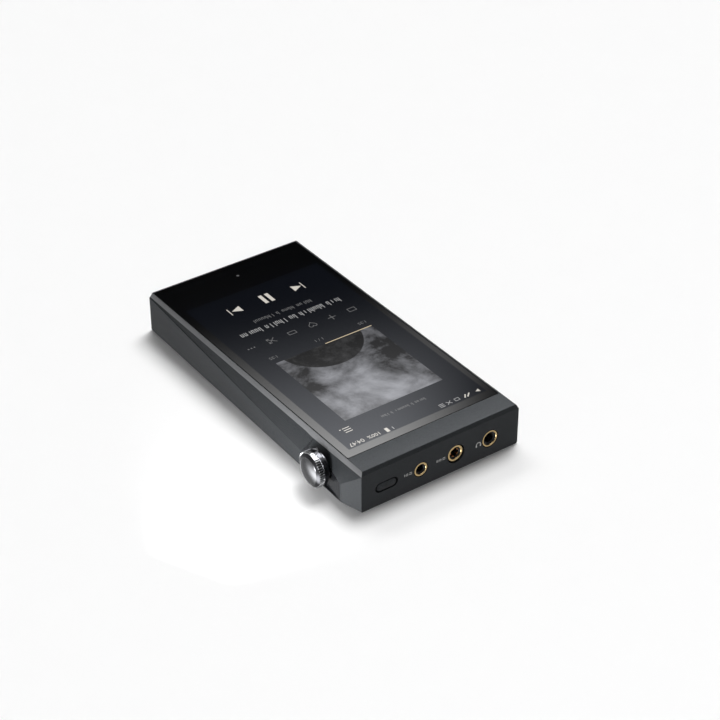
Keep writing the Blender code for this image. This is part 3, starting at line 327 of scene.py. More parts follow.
# ---------------------------------------------------------------- volume wheel
# A steel wheel with a straight knurl behind its rim and a smooth dark drum
# behind that, pressed on the encoder's shaft and closed by a turned, domed cap.
WHEEL_Y = 49.48 * MM
WHEEL_Z = 8.55 * MM
KNURL_TEETH = 46
KNURL_ROOT = 6.46 * MM        # radius at the foot of the teeth
KNURL_BORE = 6.24 * MM        # radius of the recess for the cap
KNURL_WIDTH = 1.65 * MM
KNURL_SET_BACK = 1.25 * MM    # behind the middle of the cap
DRUM_WIDTH = 2.0 * MM         # behind the knurl
TOOTH = ((0.34, 0.10), (-0.08, 0.21), (-0.08, -0.21), (0.34, -0.10))  # out, across
CAP_TUCK = 0.02 * MM          # gap between the cap's back and the wheel
TURNING_PITCH = 0.09 * MM     # of the rings that the lathe left on the cap
DISH_RADIUS = 5.16 * MM       # of the light face; the slope round it is dark
wheel_low, wheel_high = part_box("volume_wheel")
cap_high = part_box("wheel_cap")[1]
TURNED_CAP = finish_of("turned dark steel", (0.128, 0.130, 0.136), 0.25, 1.0,
                       grain=0.10, grain_scale=2500.0, mottling=0.25,
                       mottling_scale=900.0, bump=0.0)
KNURLED_STEEL = finish_of("knurled steel", (0.85, 0.855, 0.87), 0.16, 1.0,
                          grain=0.15, grain_scale=6000.0, bump=0.1)
DRUM_STEEL = finish_of("smoked steel", (0.060, 0.061, 0.066), 0.18, 1.0,
                       grain=0.15, grain_scale=6000.0, bump=0.05)
# the lathe's rings, round the wheel's axis
rings_tree = TURNED_CAP.node_tree
rings_where = put(rings_tree, "ShaderNodeTexCoord")
from_axis = put(rings_tree, "ShaderNodeMapping")
from_axis.inputs["Location"].default_value = (0.0, -WHEEL_Y, -WHEEL_Z)
lathe_rings = put(rings_tree, "ShaderNodeTexWave", wave_type="RINGS",
                  rings_direction="X", Distortion=0.6, Detail=1.0,
                  Scale=1.0 / (20.0 * TURNING_PITCH))
ring_relief = put(rings_tree, "ShaderNodeBump", Strength=0.5, Distance=0.000004)
rings_tree.links.new(rings_where.outputs["Object"], from_axis.inputs["Vector"])
rings_tree.links.new(from_axis.outputs[0], lathe_rings.inputs["Vector"])
rings_tree.links.new(lathe_rings.outputs["Fac"], ring_relief.inputs["Height"])
rings_tree.links.new(ring_relief.outputs["Normal"],
                     rings_tree.nodes["Principled BSDF"].inputs["Normal"])


def turned(name, profile, place, segments=96):
    """A piece turned on its Z axis from (radius, height) points, from the axis or
    all the way round, then put in place."""
    bm = bmesh.new()
    rings = []
    for radius, height in profile:
        if radius == 0:
            rings.append([bm.verts.new((0, 0, height))])
            continue
        ring = []
        for i in range(segments):
            turn = 2 * math.pi * i / segments
            ring.append(bm.verts.new((radius * math.cos(turn),
                                      radius * math.sin(turn), height)))
        rings.append(ring)
    pairs = list(zip(rings, rings[1:]))
    if len(rings[0]) > 1:
        pairs.append((rings[-1], rings[0]))
    for first, second in pairs:
        for i in range(segments):
            j = (i + 1) % segments
            corners = [first[i % len(first)], first[j % len(first)],
                       second[j % len(second)], second[i % len(second)]]
            corners = list(dict.fromkeys(corners))
            if len(corners) > 2:
                bm.faces.new(corners)
    bmesh.ops.recalc_face_normals(bm, faces=bm.faces)
    mesh = bpy.data.meshes.new(name)
    bm.to_mesh(mesh)
    bm.free()
    mesh.transform(place)
    crisp(mesh, 32.0)
    return mesh


def copies_tree(name, in_ring):
    """Geometry Nodes: copies of the piece in a ring round Z or in a row along X."""
    tree = bpy.data.node_groups.new(name, "GeometryNodeTree")
    face = tree.interface
    face.new_socket("Geometry", in_out="INPUT", socket_type="NodeSocketGeometry")
    face.new_socket("Count", in_out="INPUT", socket_type="NodeSocketInt")
    face.new_socket("Size", in_out="INPUT", socket_type="NodeSocketFloat")
    face.new_socket("Finish", in_out="INPUT", socket_type="NodeSocketMaterial")
    face.new_socket("Geometry", in_out="OUTPUT", socket_type="NodeSocketGeometry")
    link = tree.links.new
    given = put(tree, "NodeGroupInput")
    result = put(tree, "NodeGroupOutput")
    copies = put(tree, "GeometryNodeInstanceOnPoints")
    if in_ring:
        points = put(tree, "GeometryNodeMeshCircle")
        link(given.outputs["Count"], points.inputs["Vertices"])
        link(given.outputs["Size"], points.inputs["Radius"])
        where = put(tree, "GeometryNodeInputPosition")
        face_out = put(tree, "FunctionNodeAlignRotationToVector", axis="X",
                       pivot_axis="Z")
        link(where.outputs[0], face_out.inputs["Vector"])
        link(face_out.outputs[0], copies.inputs["Rotation"])
    else:
        points = put(tree, "GeometryNodeMeshLine")
        step = put(tree, "ShaderNodeCombineXYZ")
        link(given.outputs["Count"], points.inputs["Count"])
        link(given.outputs["Size"], step.inputs["X"])
        link(step.outputs[0], points.inputs["Offset"])
    made = put(tree, "GeometryNodeRealizeInstances")
    painted = put(tree, "GeometryNodeSetMaterial")
    link(points.outputs["Mesh"], copies.inputs["Points"])
    link(given.outputs["Geometry"], copies.inputs["Instance"])
    link(copies.outputs[0], made.inputs[0])
    link(made.outputs[0], painted.inputs["Geometry"])
    link(given.outputs["Finish"], painted.inputs["Material"])
    link(painted.outputs[0], result.inputs[0])
    return tree


RING_OF_COPIES = copies_tree("ring of copies", True)
ROW_OF_COPIES = copies_tree("row of copies", False)


def copied(name, mesh, tree, count, size, material, place):
    """The plain mesh of a ring or row of copies, put in place."""
    carrier = bpy.data.objects.new(name, mesh)
    bpy.context.scene.collection.objects.link(carrier)
    modifier = carrier.modifiers.new("copies", "NODES")
    modifier.node_group = tree
    for item in tree.interface.items_tree:
        value = {"Count": count, "Size": size, "Finish": material}.get(item.name)
        if value is not None:
            modifier[item.identifier] = value
    graph = bpy.context.evaluated_depsgraph_get()
    made = bpy.data.meshes.new_from_object(carrier.evaluated_get(graph))
    bpy.data.objects.remove(carrier, do_unlink=True)
    made.materials.clear()
    made.transform(place)
    return made


def prism(name, outline, low, high):
    """A flat outline of (x, y) points raised from low to high."""
    bm = bmesh.new()
    floor_face = bm.faces.new([bm.verts.new((x, y, low)) for x, y in outline])
    grown = bmesh.ops.extrude_face_region(bm, geom=[floor_face])
    raised = [item for item in grown["geom"] if isinstance(item, bmesh.types.BMVert)]
    bmesh.ops.translate(bm, vec=(0, 0, high - low), verts=raised)
    bmesh.ops.recalc_face_normals(bm, faces=bm.faces)
    mesh = bpy.data.meshes.new(name)
    bm.to_mesh(mesh)
    bm.free()
    return mesh


def joined(name, meshes):
    """One mesh from several."""
    bm = bmesh.new()
    for mesh in meshes:
        bm.from_mesh(mesh)
    whole = bpy.data.meshes.new(name)
    bm.to_mesh(whole)
    bm.free()
    return whole


ON_WHEEL_AXIS = (Matrix.Translation((0.0, WHEEL_Y, WHEEL_Z))
                 @ Matrix.Rotation(math.pi / 2, 4, "Y"))
cap_front = cap_high.x
knurl_front = cap_front - KNURL_SET_BACK
knurl_back = knurl_front - KNURL_WIDTH
drum_back = knurl_back - DRUM_WIDTH
tooth = prism("tooth", [(out * MM, across * MM) for out, across in TOOTH],
              knurl_back, knurl_front)
teeth = copied("teeth", tooth, RING_OF_COPIES, KNURL_TEETH, KNURL_ROOT,
               KNURLED_STEEL, ON_WHEEL_AXIS)
drum = turned("drum", [
    (KNURL_BORE, knurl_front), (KNURL_ROOT - 0.06 * MM, knurl_front),
    (KNURL_ROOT, knurl_front - 0.08 * MM), (KNURL_ROOT, knurl_back + 0.04 * MM),
    (6.42 * MM, knurl_back - 0.05 * MM), (6.42 * MM, knurl_back - 0.20 * MM),
    (6.66 * MM, knurl_back - 0.34 * MM), (6.66 * MM, drum_back + 0.30 * MM),
    (6.52 * MM, drum_back + 0.08 * MM), (6.25 * MM, drum_back),
    (5.45 * MM, drum_back), (5.38 * MM, drum_back - 0.06 * MM),
    (5.38 * MM, wheel_low.x + 0.15 * MM), (5.25 * MM, wheel_low.x),
    (1.31 * MM, wheel_low.x), (1.31 * MM, wheel_high.x),
    (KNURL_BORE, wheel_high.x)], ON_WHEEL_AXIS)
for face in drum.polygons:
    face.material_index = 1
wheel = new_piece("knurled_wheel", joined("knurled_wheel", [drum, teeth]), "wheel",
                  "polished_dark_steel", KNURLED_STEEL, DRUM_STEEL)
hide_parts("volume_wheel")

CAP_PROFILE = (               # radius, then distance behind its middle, millimetres
    (0.0, 0.0), (0.8, 0.015), (1.6, 0.06), (2.4, 0.14), (3.2, 0.26), (4.0, 0.41),
    (4.6, 0.55), (4.80, 0.60), (4.92, 0.56), (5.10, 0.57), (5.22, 0.66), (5.65, 0.84),
    (6.05, 1.02), (6.26, 1.13), (6.33, 1.25), (6.20, 1.32))
cap_profile = [(radius * MM, cap_front - behind * MM) for radius, behind in CAP_PROFILE]
cap_profile += [(cap_profile[-1][0], wheel_high.x + CAP_TUCK),
                (0.0, wheel_high.x + CAP_TUCK)]
cap_mesh = turned("polished_cap", cap_profile, ON_WHEEL_AXIS, 128)
for face in cap_mesh.polygons:
    middle = face.center - Vector((0.0, WHEEL_Y, WHEEL_Z))
    if math.hypot(middle.y, middle.z) > DISH_RADIUS:
        face.material_index = 1
cap = new_piece("polished_cap", cap_mesh, "wheel", "polished_dark_steel", TURNED_CAP,
                DRUM_STEEL)
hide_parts("wheel_cap")
set_finish(["wheel_shaft"], PRESSED_STEEL)

# ------------------------------------------------------------- headphone jacks
# Three moulded sockets with sprung contacts, each behind a turned gold-plated
# ring that is pressed into the end face.
GOLD_PLATE = finish_of("gold plate", (0.90, 0.66, 0.34), 0.22, 1.0, grain=0.08,
                       grain_scale=4000.0, mottling=0.12, mottling_scale=400.0)
COPPER_SPRING = finish_of("copper spring", (0.88, 0.40, 0.17), 0.3, 1.0, grain=0.15)
BLACK_LINER = finish_of("black liner", (0.012, 0.012, 0.013), 0.35, 0.0, grain=0.3)
LINER_SET_BACK = 0.25 * MM    # the liner's lip, behind the ring's face
LINER_LIP = 0.45 * MM         # and how long its narrow part starts behind that
LEAF = ((-0.18, -0.45), (0.0, -0.45), (0.06, 0.0), (0.0, 0.45), (-0.18, 0.45),
        (-0.10, 0.0))         # section of one spring in millimetres
LEAF_END = 3.4 * MM           # how deep the springs reach behind the ring's face
LEAF_INSET = 0.22 * MM        # and how far inside the liner's hole they stand
# socket, width of its ring's face, wall of its liner, then its springs' finish,
# their number and how deep they start
JACK_FACES = (
    ("jack_small_balanced", 0.72 * MM, 0.55 * MM, GOLD_PLATE, 4, 1.9 * MM),
    ("jack_large_balanced", 0.80 * MM, 0.55 * MM, COPPER_SPRING, 5, 0.7 * MM),
    ("jack_headphone", 0.62 * MM, 0.75 * MM, GOLD_PLATE, 4, 1.9 * MM),
)

for name, plated, wall, springs, count, depth in JACK_FACES:
    low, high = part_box(f"{name}_collar")
    outer = (high.x - low.x) / 2
    jack_x, jack_z = (low.x + high.x) / 2, (low.z + high.z) / 2
    ON_JACK = (Matrix.Translation((jack_x, 0.0, jack_z))
               @ Matrix.Rotation(-math.pi / 2, 4, "X"))
    front, back = high.y, low.y
    inner = outer - plated
    ring_mesh = turned(f"{name}_ring", [
        (outer - 0.10 * MM, front), (outer - 0.03 * MM, front - 0.03 * MM),
        (outer, front - 0.10 * MM), (outer, back), (inner, back),
        (inner, front - 0.20 * MM), (inner + 0.05 * MM, front - 0.10 * MM),
        (inner + 0.16 * MM, front)], ON_JACK, 72)
    ring = new_piece(f"{name}_ring", ring_mesh, "player_body", "gold_plate", GOLD_PLATE)
    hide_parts(f"{name}_collar")
    hole = inner - wall
    lip = front - LINER_SET_BACK
    liner_mesh = turned(f"{name}_liner", [
        (inner - 0.04 * MM, lip), (inner - 0.04 * MM, back),
        (hole, back), (hole, lip - LINER_LIP)], ON_JACK, 64)
    new_piece(f"{name}_liner", liner_mesh, "player_body", "black_plastic", BLACK_LINER)
    leaf = prism("leaf", [(out * MM, across * MM) for out, across in LEAF],
                 front - LEAF_END, front - depth)
    leaves = copied(f"{name}_springs", leaf, RING_OF_COPIES, count, hole - LEAF_INSET,
                    springs, ON_JACK)
    crisp(leaves, 20.0)
    new_piece(f"{name}_springs", leaves, "player_body", "brass", springs)

# ---------------------------------------------------------------------- buttons
# The power button and the three playback buttons are milled from the body's
# metal, finished with it, and held behind the wall by a flange.
SIDE_BUTTONS = ["previous_button", "play_button", "next_button"]
BUTTON_EDGE = 0.09 * MM       # width of the bevel round their edges
KEY_FACE = (4.20 * MM, 1.62 * MM)   # half the power button's face, along and across
KEY_BASE = (0.85 * MM, 0.90 * MM)   # its flange ends and its face starts, from behind
KEY_SET_BACK = 0.02 * MM      # the face below its print
set_finish(SIDE_BUTTONS, BLASTED)
for name in SIDE_BUTTONS:
    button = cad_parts[name]
    weld = button.modifiers.new("weld", "WELD")
    weld.merge_threshold = SAME_POINT
    broken = button.modifiers.new("edge break", "BEVEL")
    broken.width = BUTTON_EDGE
    broken.segments = 2
    broken.limit_method = "ANGLE"
    broken.angle_limit = math.radians(50)


def pill(half_length, radius, steps=14):
    """The outline of a bar with round ends, as (x, y) points."""
    points = []
    for side in (1, -1):
        for step in range(steps + 1):
            turn = -math.pi / 2 + math.pi * step / steps
            points.append((side * (half_length - radius + radius * math.cos(turn)),
                           side * radius * math.sin(turn)))
    return points


def stacked(name, outlines, place):
    """A closed piece through outlines of equal count, each with its height."""
    bm = bmesh.new()
    rings = [[bm.verts.new((x, y, height)) for x, y in outline]
             for outline, height in outlines]
    for first, second in zip(rings, rings[1:]):
        for i in range(len(first)):
            j = (i + 1) % len(first)
            bm.faces.new([first[i], first[j], second[j], second[i]])
    bm.faces.new(rings[0][::-1])
    bm.faces.new(rings[-1])
    bmesh.ops.recalc_face_normals(bm, faces=bm.faces)
    mesh = bpy.data.meshes.new(name)
    bm.to_mesh(mesh)
    bm.free()
    mesh.transform(place)
    crisp(mesh, 25.0)
    return mesh


ON_END = (Matrix.Translation((0.0, JACK_END_Y, 0.0))
          @ Matrix.Rotation(-math.pi / 2, 4, "X"))
power_low, power_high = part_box("power_button")
power_x = (power_low.x + power_high.x) / 2
power_z = (power_low.z + power_high.z) / 2
ON_POWER = ON_END @ Matrix.Translation((power_x, -power_z, 0.0))
half_long = (power_high.x - power_low.x) / 2
half_tall = (power_high.z - power_low.z) / 2
face_long, face_tall = KEY_FACE
key_back = power_low.y - JACK_END_Y
key_front = power_high.y - JACK_END_Y - KEY_SET_BACK
power_mesh = stacked("power_key", [
    (pill(half_long, half_tall), key_back),
    (pill(half_long, half_tall), key_back + KEY_BASE[0]),
    (pill(face_long, face_tall), key_back + KEY_BASE[1]),
    (pill(face_long, face_tall), key_front - 0.22 * MM),
    (pill(face_long - 0.07 * MM, face_tall - 0.07 * MM), key_front - 0.06 * MM),
    (pill(face_long - 0.22 * MM, face_tall - 0.22 * MM), key_front)], ON_POWER)
power_key = new_piece("power_key", power_mesh, "power_button", "blasted_aluminium",
                      BLASTED)
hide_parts("power_button")
PRINT_GREY = finish_of("grey print", (0.66, 0.66, 0.64), 0.5, 0.0, grain=0.3)
PRINT_DARK = finish_of("dark print", (0.004, 0.004, 0.004), 0.6, 0.0, grain=0.3)


def arc(x, y, radius, start, end, width, steps=14):
    """Flat pieces of a ring that meet edge to edge, angles in degrees."""
    rays = []
    for k in range(steps + 1):
        turn = math.radians(start + (end - start) * k / steps)
        rays.append([(x + reach * math.cos(turn), y + reach * math.sin(turn))
                     for reach in (radius - width / 2, radius + width / 2)])
    return [first + second[::-1] for first, second in zip(rays, rays[1:])]


def printed(name, outlines, low, high, body, place, material):
    """A thin print: outlines in millimetres raised from low to high."""
    sheets = [prism(name, [(x * MM, y * MM) for x, y in outline], low, high)
              for outline in outlines]
    mesh = joined(name, sheets)
    mesh.transform(place)
    return new_piece(name, mesh, body, "black_plastic", material)


def rectangle(u0, v0, u1, v1):
    """Corners of an upright rectangle."""
    return [(u0, v0), (u1, v0), (u1, v1), (u0, v1)]


def stroke(points, width, closed=False):
    """Four-cornered strips along a line."""
    ends = points + points[:1] if closed else points
    strips = []
    for (u0, v0), (u1, v1) in zip(ends, ends[1:]):
        length = math.hypot(u1 - u0, v1 - v0)
        along = ((u1 - u0) / length * width / 2, (v1 - v0) / length * width / 2)
        across = (-along[1], along[0])
        strips.append([
            (u0 - along[0] - across[0], v0 - along[1] - across[1]),
            (u1 + along[0] - across[0], v1 + along[1] - across[1]),
            (u1 + along[0] + across[0], v1 + along[1] + across[1]),
            (u0 - along[0] + across[0], v0 - along[1] + across[1])])
    return strips


power_sign = arc(0.0, 0.0, 0.62, -50, 230, 0.34)
power_sign += [rectangle(-0.15, -0.9, 0.15, 0.1)]
printed("power_sign", power_sign, key_front - 0.002 * MM, key_front + 0.006 * MM,
        "power_button", ON_POWER, PRINT_DARK)

# marks printed beside the sockets: a headphone shape, and for each balanced socket
# two short lines, a small ring and one or two upright bars
marks = arc(-20.3, -7.0, 0.95, 0, -180, 0.36)
marks += [rectangle(-21.5, -7.0, -20.98, -6.05), rectangle(-19.62, -7.0, -19.1, -6.05)]
for middle, bars in ((-3.5, 2), (11.1, 1)):
    marks += stroke([(middle - 1.7, -7.4), (middle - 0.7, -7.4)], 0.26)
    marks += stroke([(middle - 1.7, -8.1), (middle - 0.7, -8.1)], 0.26)
    marks += arc(middle + 0.4, -7.75, 0.42, 0, 360, 0.22, 10)
    for bar in range(bars):
        marks += stroke([(middle + 1.4 + 0.5 * bar, -7.35),
                         (middle + 1.4 + 0.5 * bar, -8.15)], 0.24)
printed("socket_marks", marks, -0.009 * MM, -0.001 * MM, "player_body", ON_END,
        PRINT_GREY)

# --------------------------------------------------------------- charging port
# A drawn steel shell with a moulded tongue, its contacts plated and laid in a
# row on both faces.
tongue_low, tongue_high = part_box("usb_tongue")
CONTACTS = 12
CONTACT_HALF = 0.13 * MM      # half its width
CONTACT_Y = (0.15 * MM, 3.2 * MM)   # from the tongue's tip
CONTACT_PROUD = 0.02 * MM     # above the plastic on each face
CONTACT_MARGIN = 0.3 * MM     # the first and last contact to the tongue's sides
contact_step = (tongue_high.x - tongue_low.x - 2 * CONTACT_MARGIN) / (CONTACTS - 1)
pad = prism("pad", [(-CONTACT_HALF, tongue_low.y + CONTACT_Y[0]),
                    (CONTACT_HALF, tongue_low.y + CONTACT_Y[0]),
                    (CONTACT_HALF, tongue_low.y + CONTACT_Y[1]),
                    (-CONTACT_HALF, tongue_low.y + CONTACT_Y[1])],
            tongue_low.z - CONTACT_PROUD, tongue_high.z + CONTACT_PROUD)
pads = copied("port_contacts", pad, ROW_OF_COPIES, CONTACTS, contact_step, GOLD_PLATE,
              Matrix.Translation((tongue_low.x + CONTACT_MARGIN, 0.0, 0.0)))
new_piece("port_contacts", pads, "player_body", "gold_plate", GOLD_PLATE)

# ----------------------------------------------------------------- front glass
# One sheet of toughened glass, printed black behind, set a hair below the metal
# round it and bonded to the seal under its edge.  The back cover is a second
# sheet, held on by tape.
BLACK_GLASS = finish_of("black glass", (0.0015, 0.0016, 0.0020), 0.05, 0.0, grain=0.0,
                        mottling=0.2, mottling_scale=45.0, bump=0.0, IOR=1.52)
set_finish(["front_glass", "back_cover"], BLACK_GLASS)

# ---------------------------------------------------------------- lit display
# The panel bonded under the glass, lit: a dark page, a square picture and the
# player's controls.  Each layer is a film a few thousandths of a millimetre
# thick that lies on the glass, so that it shines with the glass.
PAGE_HALF = (30.44, 54.09)    # millimetres, as is every place on the page
PAGE_MIDDLE = Vector((CENTRE_X, 2.93 * MM, glass_high.z))
PICTURE_HALF = 21.8
PICTURE_V = (-4.7, 39.4)
DISC_AT = (0.9, -8.3)         # middle of the round shape in the picture
DISC_EDGE = (17.4, 17.9)      # its soft edge
FILM = 0.004 * MM             # one layer
FILM_GAP = 0.001 * MM         # from the glass to the lowest layer
SIGN_LINE = 0.28              # width of the lines in the small signs


def film(name, outlines, layer, material):
    """Flat outlines in millimetres from the page's middle, laid as a thin film."""
    low = PAGE_MIDDLE.z + FILM_GAP
    high = low + layer * FILM
    sheets = [prism(name, [(PAGE_MIDDLE.x + u * MM, PAGE_MIDDLE.y + v * MM)
                           for u, v in outline], low, high) for outline in outlines]
    mesh = sheets[0] if len(sheets) == 1 else joined(name, sheets)
    return new_piece(name, mesh, "player_body", "black_glass", material)


def lit_film(name, glow, strength, colour=(0.0, 0.0, 0.0), specular=0.3,
             tint=(1.0, 1.0, 1.0)):
    """Glossy film that gives off a little light of its own."""
    material = finish_of(name, colour, 0.06, 0.0, grain=0.0, mottling=0.0, bump=0.0,
                         Specular_IOR_Level=specular, Specular_Tint=(*tint, 1.0))
    shader = material.node_tree.nodes["Principled BSDF"]
    shader.inputs["Emission Color"].default_value = (*glow, 1.0)
    shader.inputs["Emission Strength"].default_value = strength
    return material


PAGE = lit_film("lit page", (0.10, 0.13, 0.20), 0.018, (0.0015, 0.0018, 0.003), 0.215,
                (0.80, 0.86, 1.0))
WHITE_MARK = lit_film("warm white mark", (1.0, 0.95, 0.87), 0.62)
DIM_MARK = lit_film("dim mark", (0.85, 0.85, 0.86), 0.17)
SOFT_MARK = lit_film("soft mark", (0.92, 0.92, 0.92), 0.42)
GOLD_MARK = lit_film("gold mark", (1.0, 0.82, 0.55), 0.62)
film("page", [rectangle(-PAGE_HALF[0], -PAGE_HALF[1], *PAGE_HALF)], 1, PAGE)

# the square picture: grey cloud behind a dark round shape, lit from below
CLOUD = lit_film("cloud picture", (1.0, 1.0, 1.0), 0.56, specular=0.12)
paint = CLOUD.node_tree
shader = paint.nodes["Principled BSDF"]
link = paint.links.new
where = put(paint, "ShaderNodeTexCoord")
centred = put(paint, "ShaderNodeMapping")
centred.inputs["Location"].default_value = (-PAGE_MIDDLE.x, -PAGE_MIDDLE.y, 0.0)
link(where.outputs["Object"], centred.inputs["Vector"])


def two_tone(noise, *stops):
    """The colours of a noise, from two (place, colour) stops."""
    ramp = put(paint, "ShaderNodeValToRGB")
    for element, (place, colour) in zip(ramp.color_ramp.elements, stops):
        element.position = place
        element.color = (*colour, 1.0)
    link(noise.outputs["Fac"], ramp.inputs["Fac"])
    return ramp.outputs[0]


clouds = put(paint, "ShaderNodeTexNoise", Scale=46.0, Detail=7.0, Roughness=0.62,
             Distortion=0.25)
link(centred.outputs[0], clouds.inputs["Vector"])
cloud_tones = two_tone(clouds, (0.41, (0.012, 0.012, 0.014)), (0.70, (0.60, 0.61, 0.66)))
from_disc = put(paint, "ShaderNodeVectorMath", operation="DISTANCE")
from_disc.inputs[1].default_value = (DISC_AT[0] * MM, DISC_AT[1] * MM, PAGE_MIDDLE.z)
link(centred.outputs[0], from_disc.inputs[0])
disc_edge = put(paint, "ShaderNodeMapRange", interpolation_type="SMOOTHSTEP")
disc_edge.inputs["From Min"].default_value = DISC_EDGE[0] * MM
disc_edge.inputs["From Max"].default_value = DISC_EDGE[1] * MM
link(from_disc.outputs["Value"], disc_edge.inputs["Value"])
disc_grain = put(paint, "ShaderNodeTexNoise", Scale=190.0, Detail=5.0, Roughness=0.7)
link(centred.outputs[0], disc_grain.inputs["Vector"])
disc_tones = two_tone(disc_grain, (0.46, (0.004, 0.004, 0.005)),
                      (0.72, (0.060, 0.060, 0.063)))
picture = put(paint, "ShaderNodeMix", data_type="RGBA")
link(disc_edge.outputs[0], picture.inputs["Factor"])
link(disc_tones, picture.inputs["A"])
link(cloud_tones, picture.inputs["B"])
link(picture.outputs["Result"], shader.inputs["Emission Color"])
film("picture", [rectangle(-PICTURE_HALF, PICTURE_V[0], PICTURE_HALF, PICTURE_V[1])],
     2, CLOUD)

# controls: pause, back and forward
film("pause_sign", [rectangle(0.72, -46.9, 2.25, -40.9),
                    rectangle(-2.15, -46.9, -0.62, -40.9)], 3, WHITE_MARK)
film("skip_signs", [
    [(-11.9, -45.6), (-11.9, -41.6), (-15.9, -43.6)],
    rectangle(-16.75, -45.9, -16.35, -41.3),
    [(12.0, -45.6), (16.1, -43.6), (12.0, -41.6)],
    rectangle(16.9, -45.9, 17.3, -41.3)], 3, WHITE_MARK)

# small signs: more, shuffle, repeat, favourite, add and list
SMALL_SIGN_V = -18.2
signs = [rectangle(u - 0.3, SMALL_SIGN_V - 0.3, u + 0.3, SMALL_SIGN_V + 0.3)
         for u in (22.4, 23.7, 25.0)]
for line in ([(13.2, -19.6), (16.2, -16.8)],
             [(13.2, -16.8), (16.2, -19.6)],
             [(15.3, -16.8), (16.3, -16.7), (16.2, -17.7)],
             [(15.3, -19.6), (16.3, -19.7), (16.2, -18.7)],
             [(3.8, -18.9), (3.8, -17.3), (7.0, -17.3)],
             [(7.1, -17.5), (7.1, -19.1), (3.9, -19.1)]):
    signs += stroke(line, SIGN_LINE)
heart = []
for step in range(20):
    turn = 2 * math.pi * step / 20
    heart.append((-3.84 + 0.105 * 16 * math.sin(turn) ** 3,
                  SMALL_SIGN_V + 0.11 * (13 * math.cos(turn) - 5 * math.cos(2 * turn)
                                         - 2 * math.cos(3 * turn)
                                         - math.cos(4 * turn))))
signs += stroke(heart, 0.26, True)
signs += stroke([(-14.4, SMALL_SIGN_V), (-11.2, SMALL_SIGN_V)], 0.32)
signs += stroke([(-12.8, SMALL_SIGN_V - 1.6), (-12.8, SMALL_SIGN_V + 1.6)], 0.32)
signs += stroke([(-23.8, -19.3), (-20.6, -19.3), (-20.6, -17.2), (-23.8, -17.2)],
                SIGN_LINE, True)
film("small_signs", signs, 3, DIM_MARK)

# menu sign, battery sign and the line of the part already played
menu = [rectangle(22.6, v - 0.18, 25.6, v + 0.18) for v in (42.9, 44.1, 45.3)]
menu.append(rectangle(26.2, 42.7, 26.8, 43.2))
film("menu_sign", menu, 3, WHITE_MARK)
film("battery_sign", [rectangle(12.2, 51.2, 13.5, 53.6)], 3, WHITE_MARK)
film("played_line", [rectangle(-21.7, -4.95, -0.5, -4.55)], 4, GOLD_MARK)
status = [[(-28.6, 51.3), (-26.9, 52.2), (-28.6, 53.1)]]
status += stroke([(-24.3, 51.6), (-22.9, 52.9)], 0.5)
status += stroke([(-22.6, 51.6), (-21.6, 52.9)], 0.5)
film("status_signs", status, 3, WHITE_MARK)
faint = stroke([(-19.4, 51.4), (-17.6, 51.4), (-17.6, 52.8), (-19.4, 52.8)], 0.22, True)
faint += stroke([(-15.8, 51.4), (-14.0, 52.9)], 0.25)
faint += stroke([(-14.0, 51.4), (-15.8, 52.9)], 0.25)
for v in (51.3, 52.1, 52.9):
    faint += stroke([(-12.6, v), (-10.8, v)], 0.3)
faint += stroke([(10.4, 52.0), (10.4, 53.2)], 0.3)
film("faint_signs", faint, 3, SOFT_MARK)


WORD_GAP = 0.9            # in widths of a letter
SHORT_LETTER = 0.68       # in heights of a tall one
LETTER_SIDES = (0.12, 0.80)   # where a letter starts and ends in its width
TALL_SHARE = 0.22
TWO_STROKE_SHARE = 0.72


def line_of_strokes(seed, lengths, u0, u1, base, height, width):
    """Words stood in for by plain upright strokes, so nothing can be read."""
    rng = random.Random(seed)
    slots = sum(lengths) + WORD_GAP * (len(lengths) - 1)
    step = (u1 - u0) / slots
    short = SHORT_LETTER * height
    u = u0
    strips = []
    for length in lengths:
        for place in range(length):
            tall = height if place == 0 or rng.random() < TALL_SHARE else short
            left, right = (u + side * step for side in LETTER_SIDES)
            strips.append(rectangle(left, base, left + width, base + tall))
            if rng.random() < TWO_STROKE_SHARE:
                strips.append(rectangle(right - width, base, right, base + short))
                level = rng.choice((0.0, short - width))
                strips.append(rectangle(left, base + level, right,
                                        base + level + width))
            u += step
        u += WORD_GAP * step
    return strips


film("title_line", line_of_strokes(5, (4, 7, 2, 6, 6), -22.8, 22.8, -28.3, 3.0, 0.30),
     3, SOFT_MARK)
film("artist_line", line_of_strokes(8, (5, 4, 1, 7), -13.2, 14.0, -33.6, 2.1, 0.26),
     3, DIM_MARK)
film("format_line", line_of_strokes(3, (5, 1, 7, 1, 4), -9.6, 10.4, 44.3, 1.5, 0.20),
     3, DIM_MARK)


TEXT_SIZE = 1.35          # of the font, in heights of its numerals


def numerals(name, text, height, u, v, material):
    """Generic numerals, centred at (u, v)."""
    words = bpy.data.curves.new(name, "FONT")
    words.body = text
    words.size = height * MM * TEXT_SIZE
    words.align_x = "CENTER"
    words.align_y = "CENTER"
    words.extrude = 1.5 * FILM
    words.resolution_u = 2
    carrier = bpy.data.objects.new(name, words)
    bpy.context.scene.collection.objects.link(carrier)
    graph = bpy.context.evaluated_depsgraph_get()
    mesh = bpy.data.meshes.new_from_object(carrier.evaluated_get(graph))
    bpy.data.objects.remove(carrier, do_unlink=True)
    mesh.materials.clear()
    mesh.transform(Matrix.Translation((PAGE_MIDDLE.x + u * MM, PAGE_MIDDLE.y + v * MM,
                                       PAGE_MIDDLE.z + 1.8 * FILM)))
    new_piece(name, mesh, "player_body", "black_glass", material)


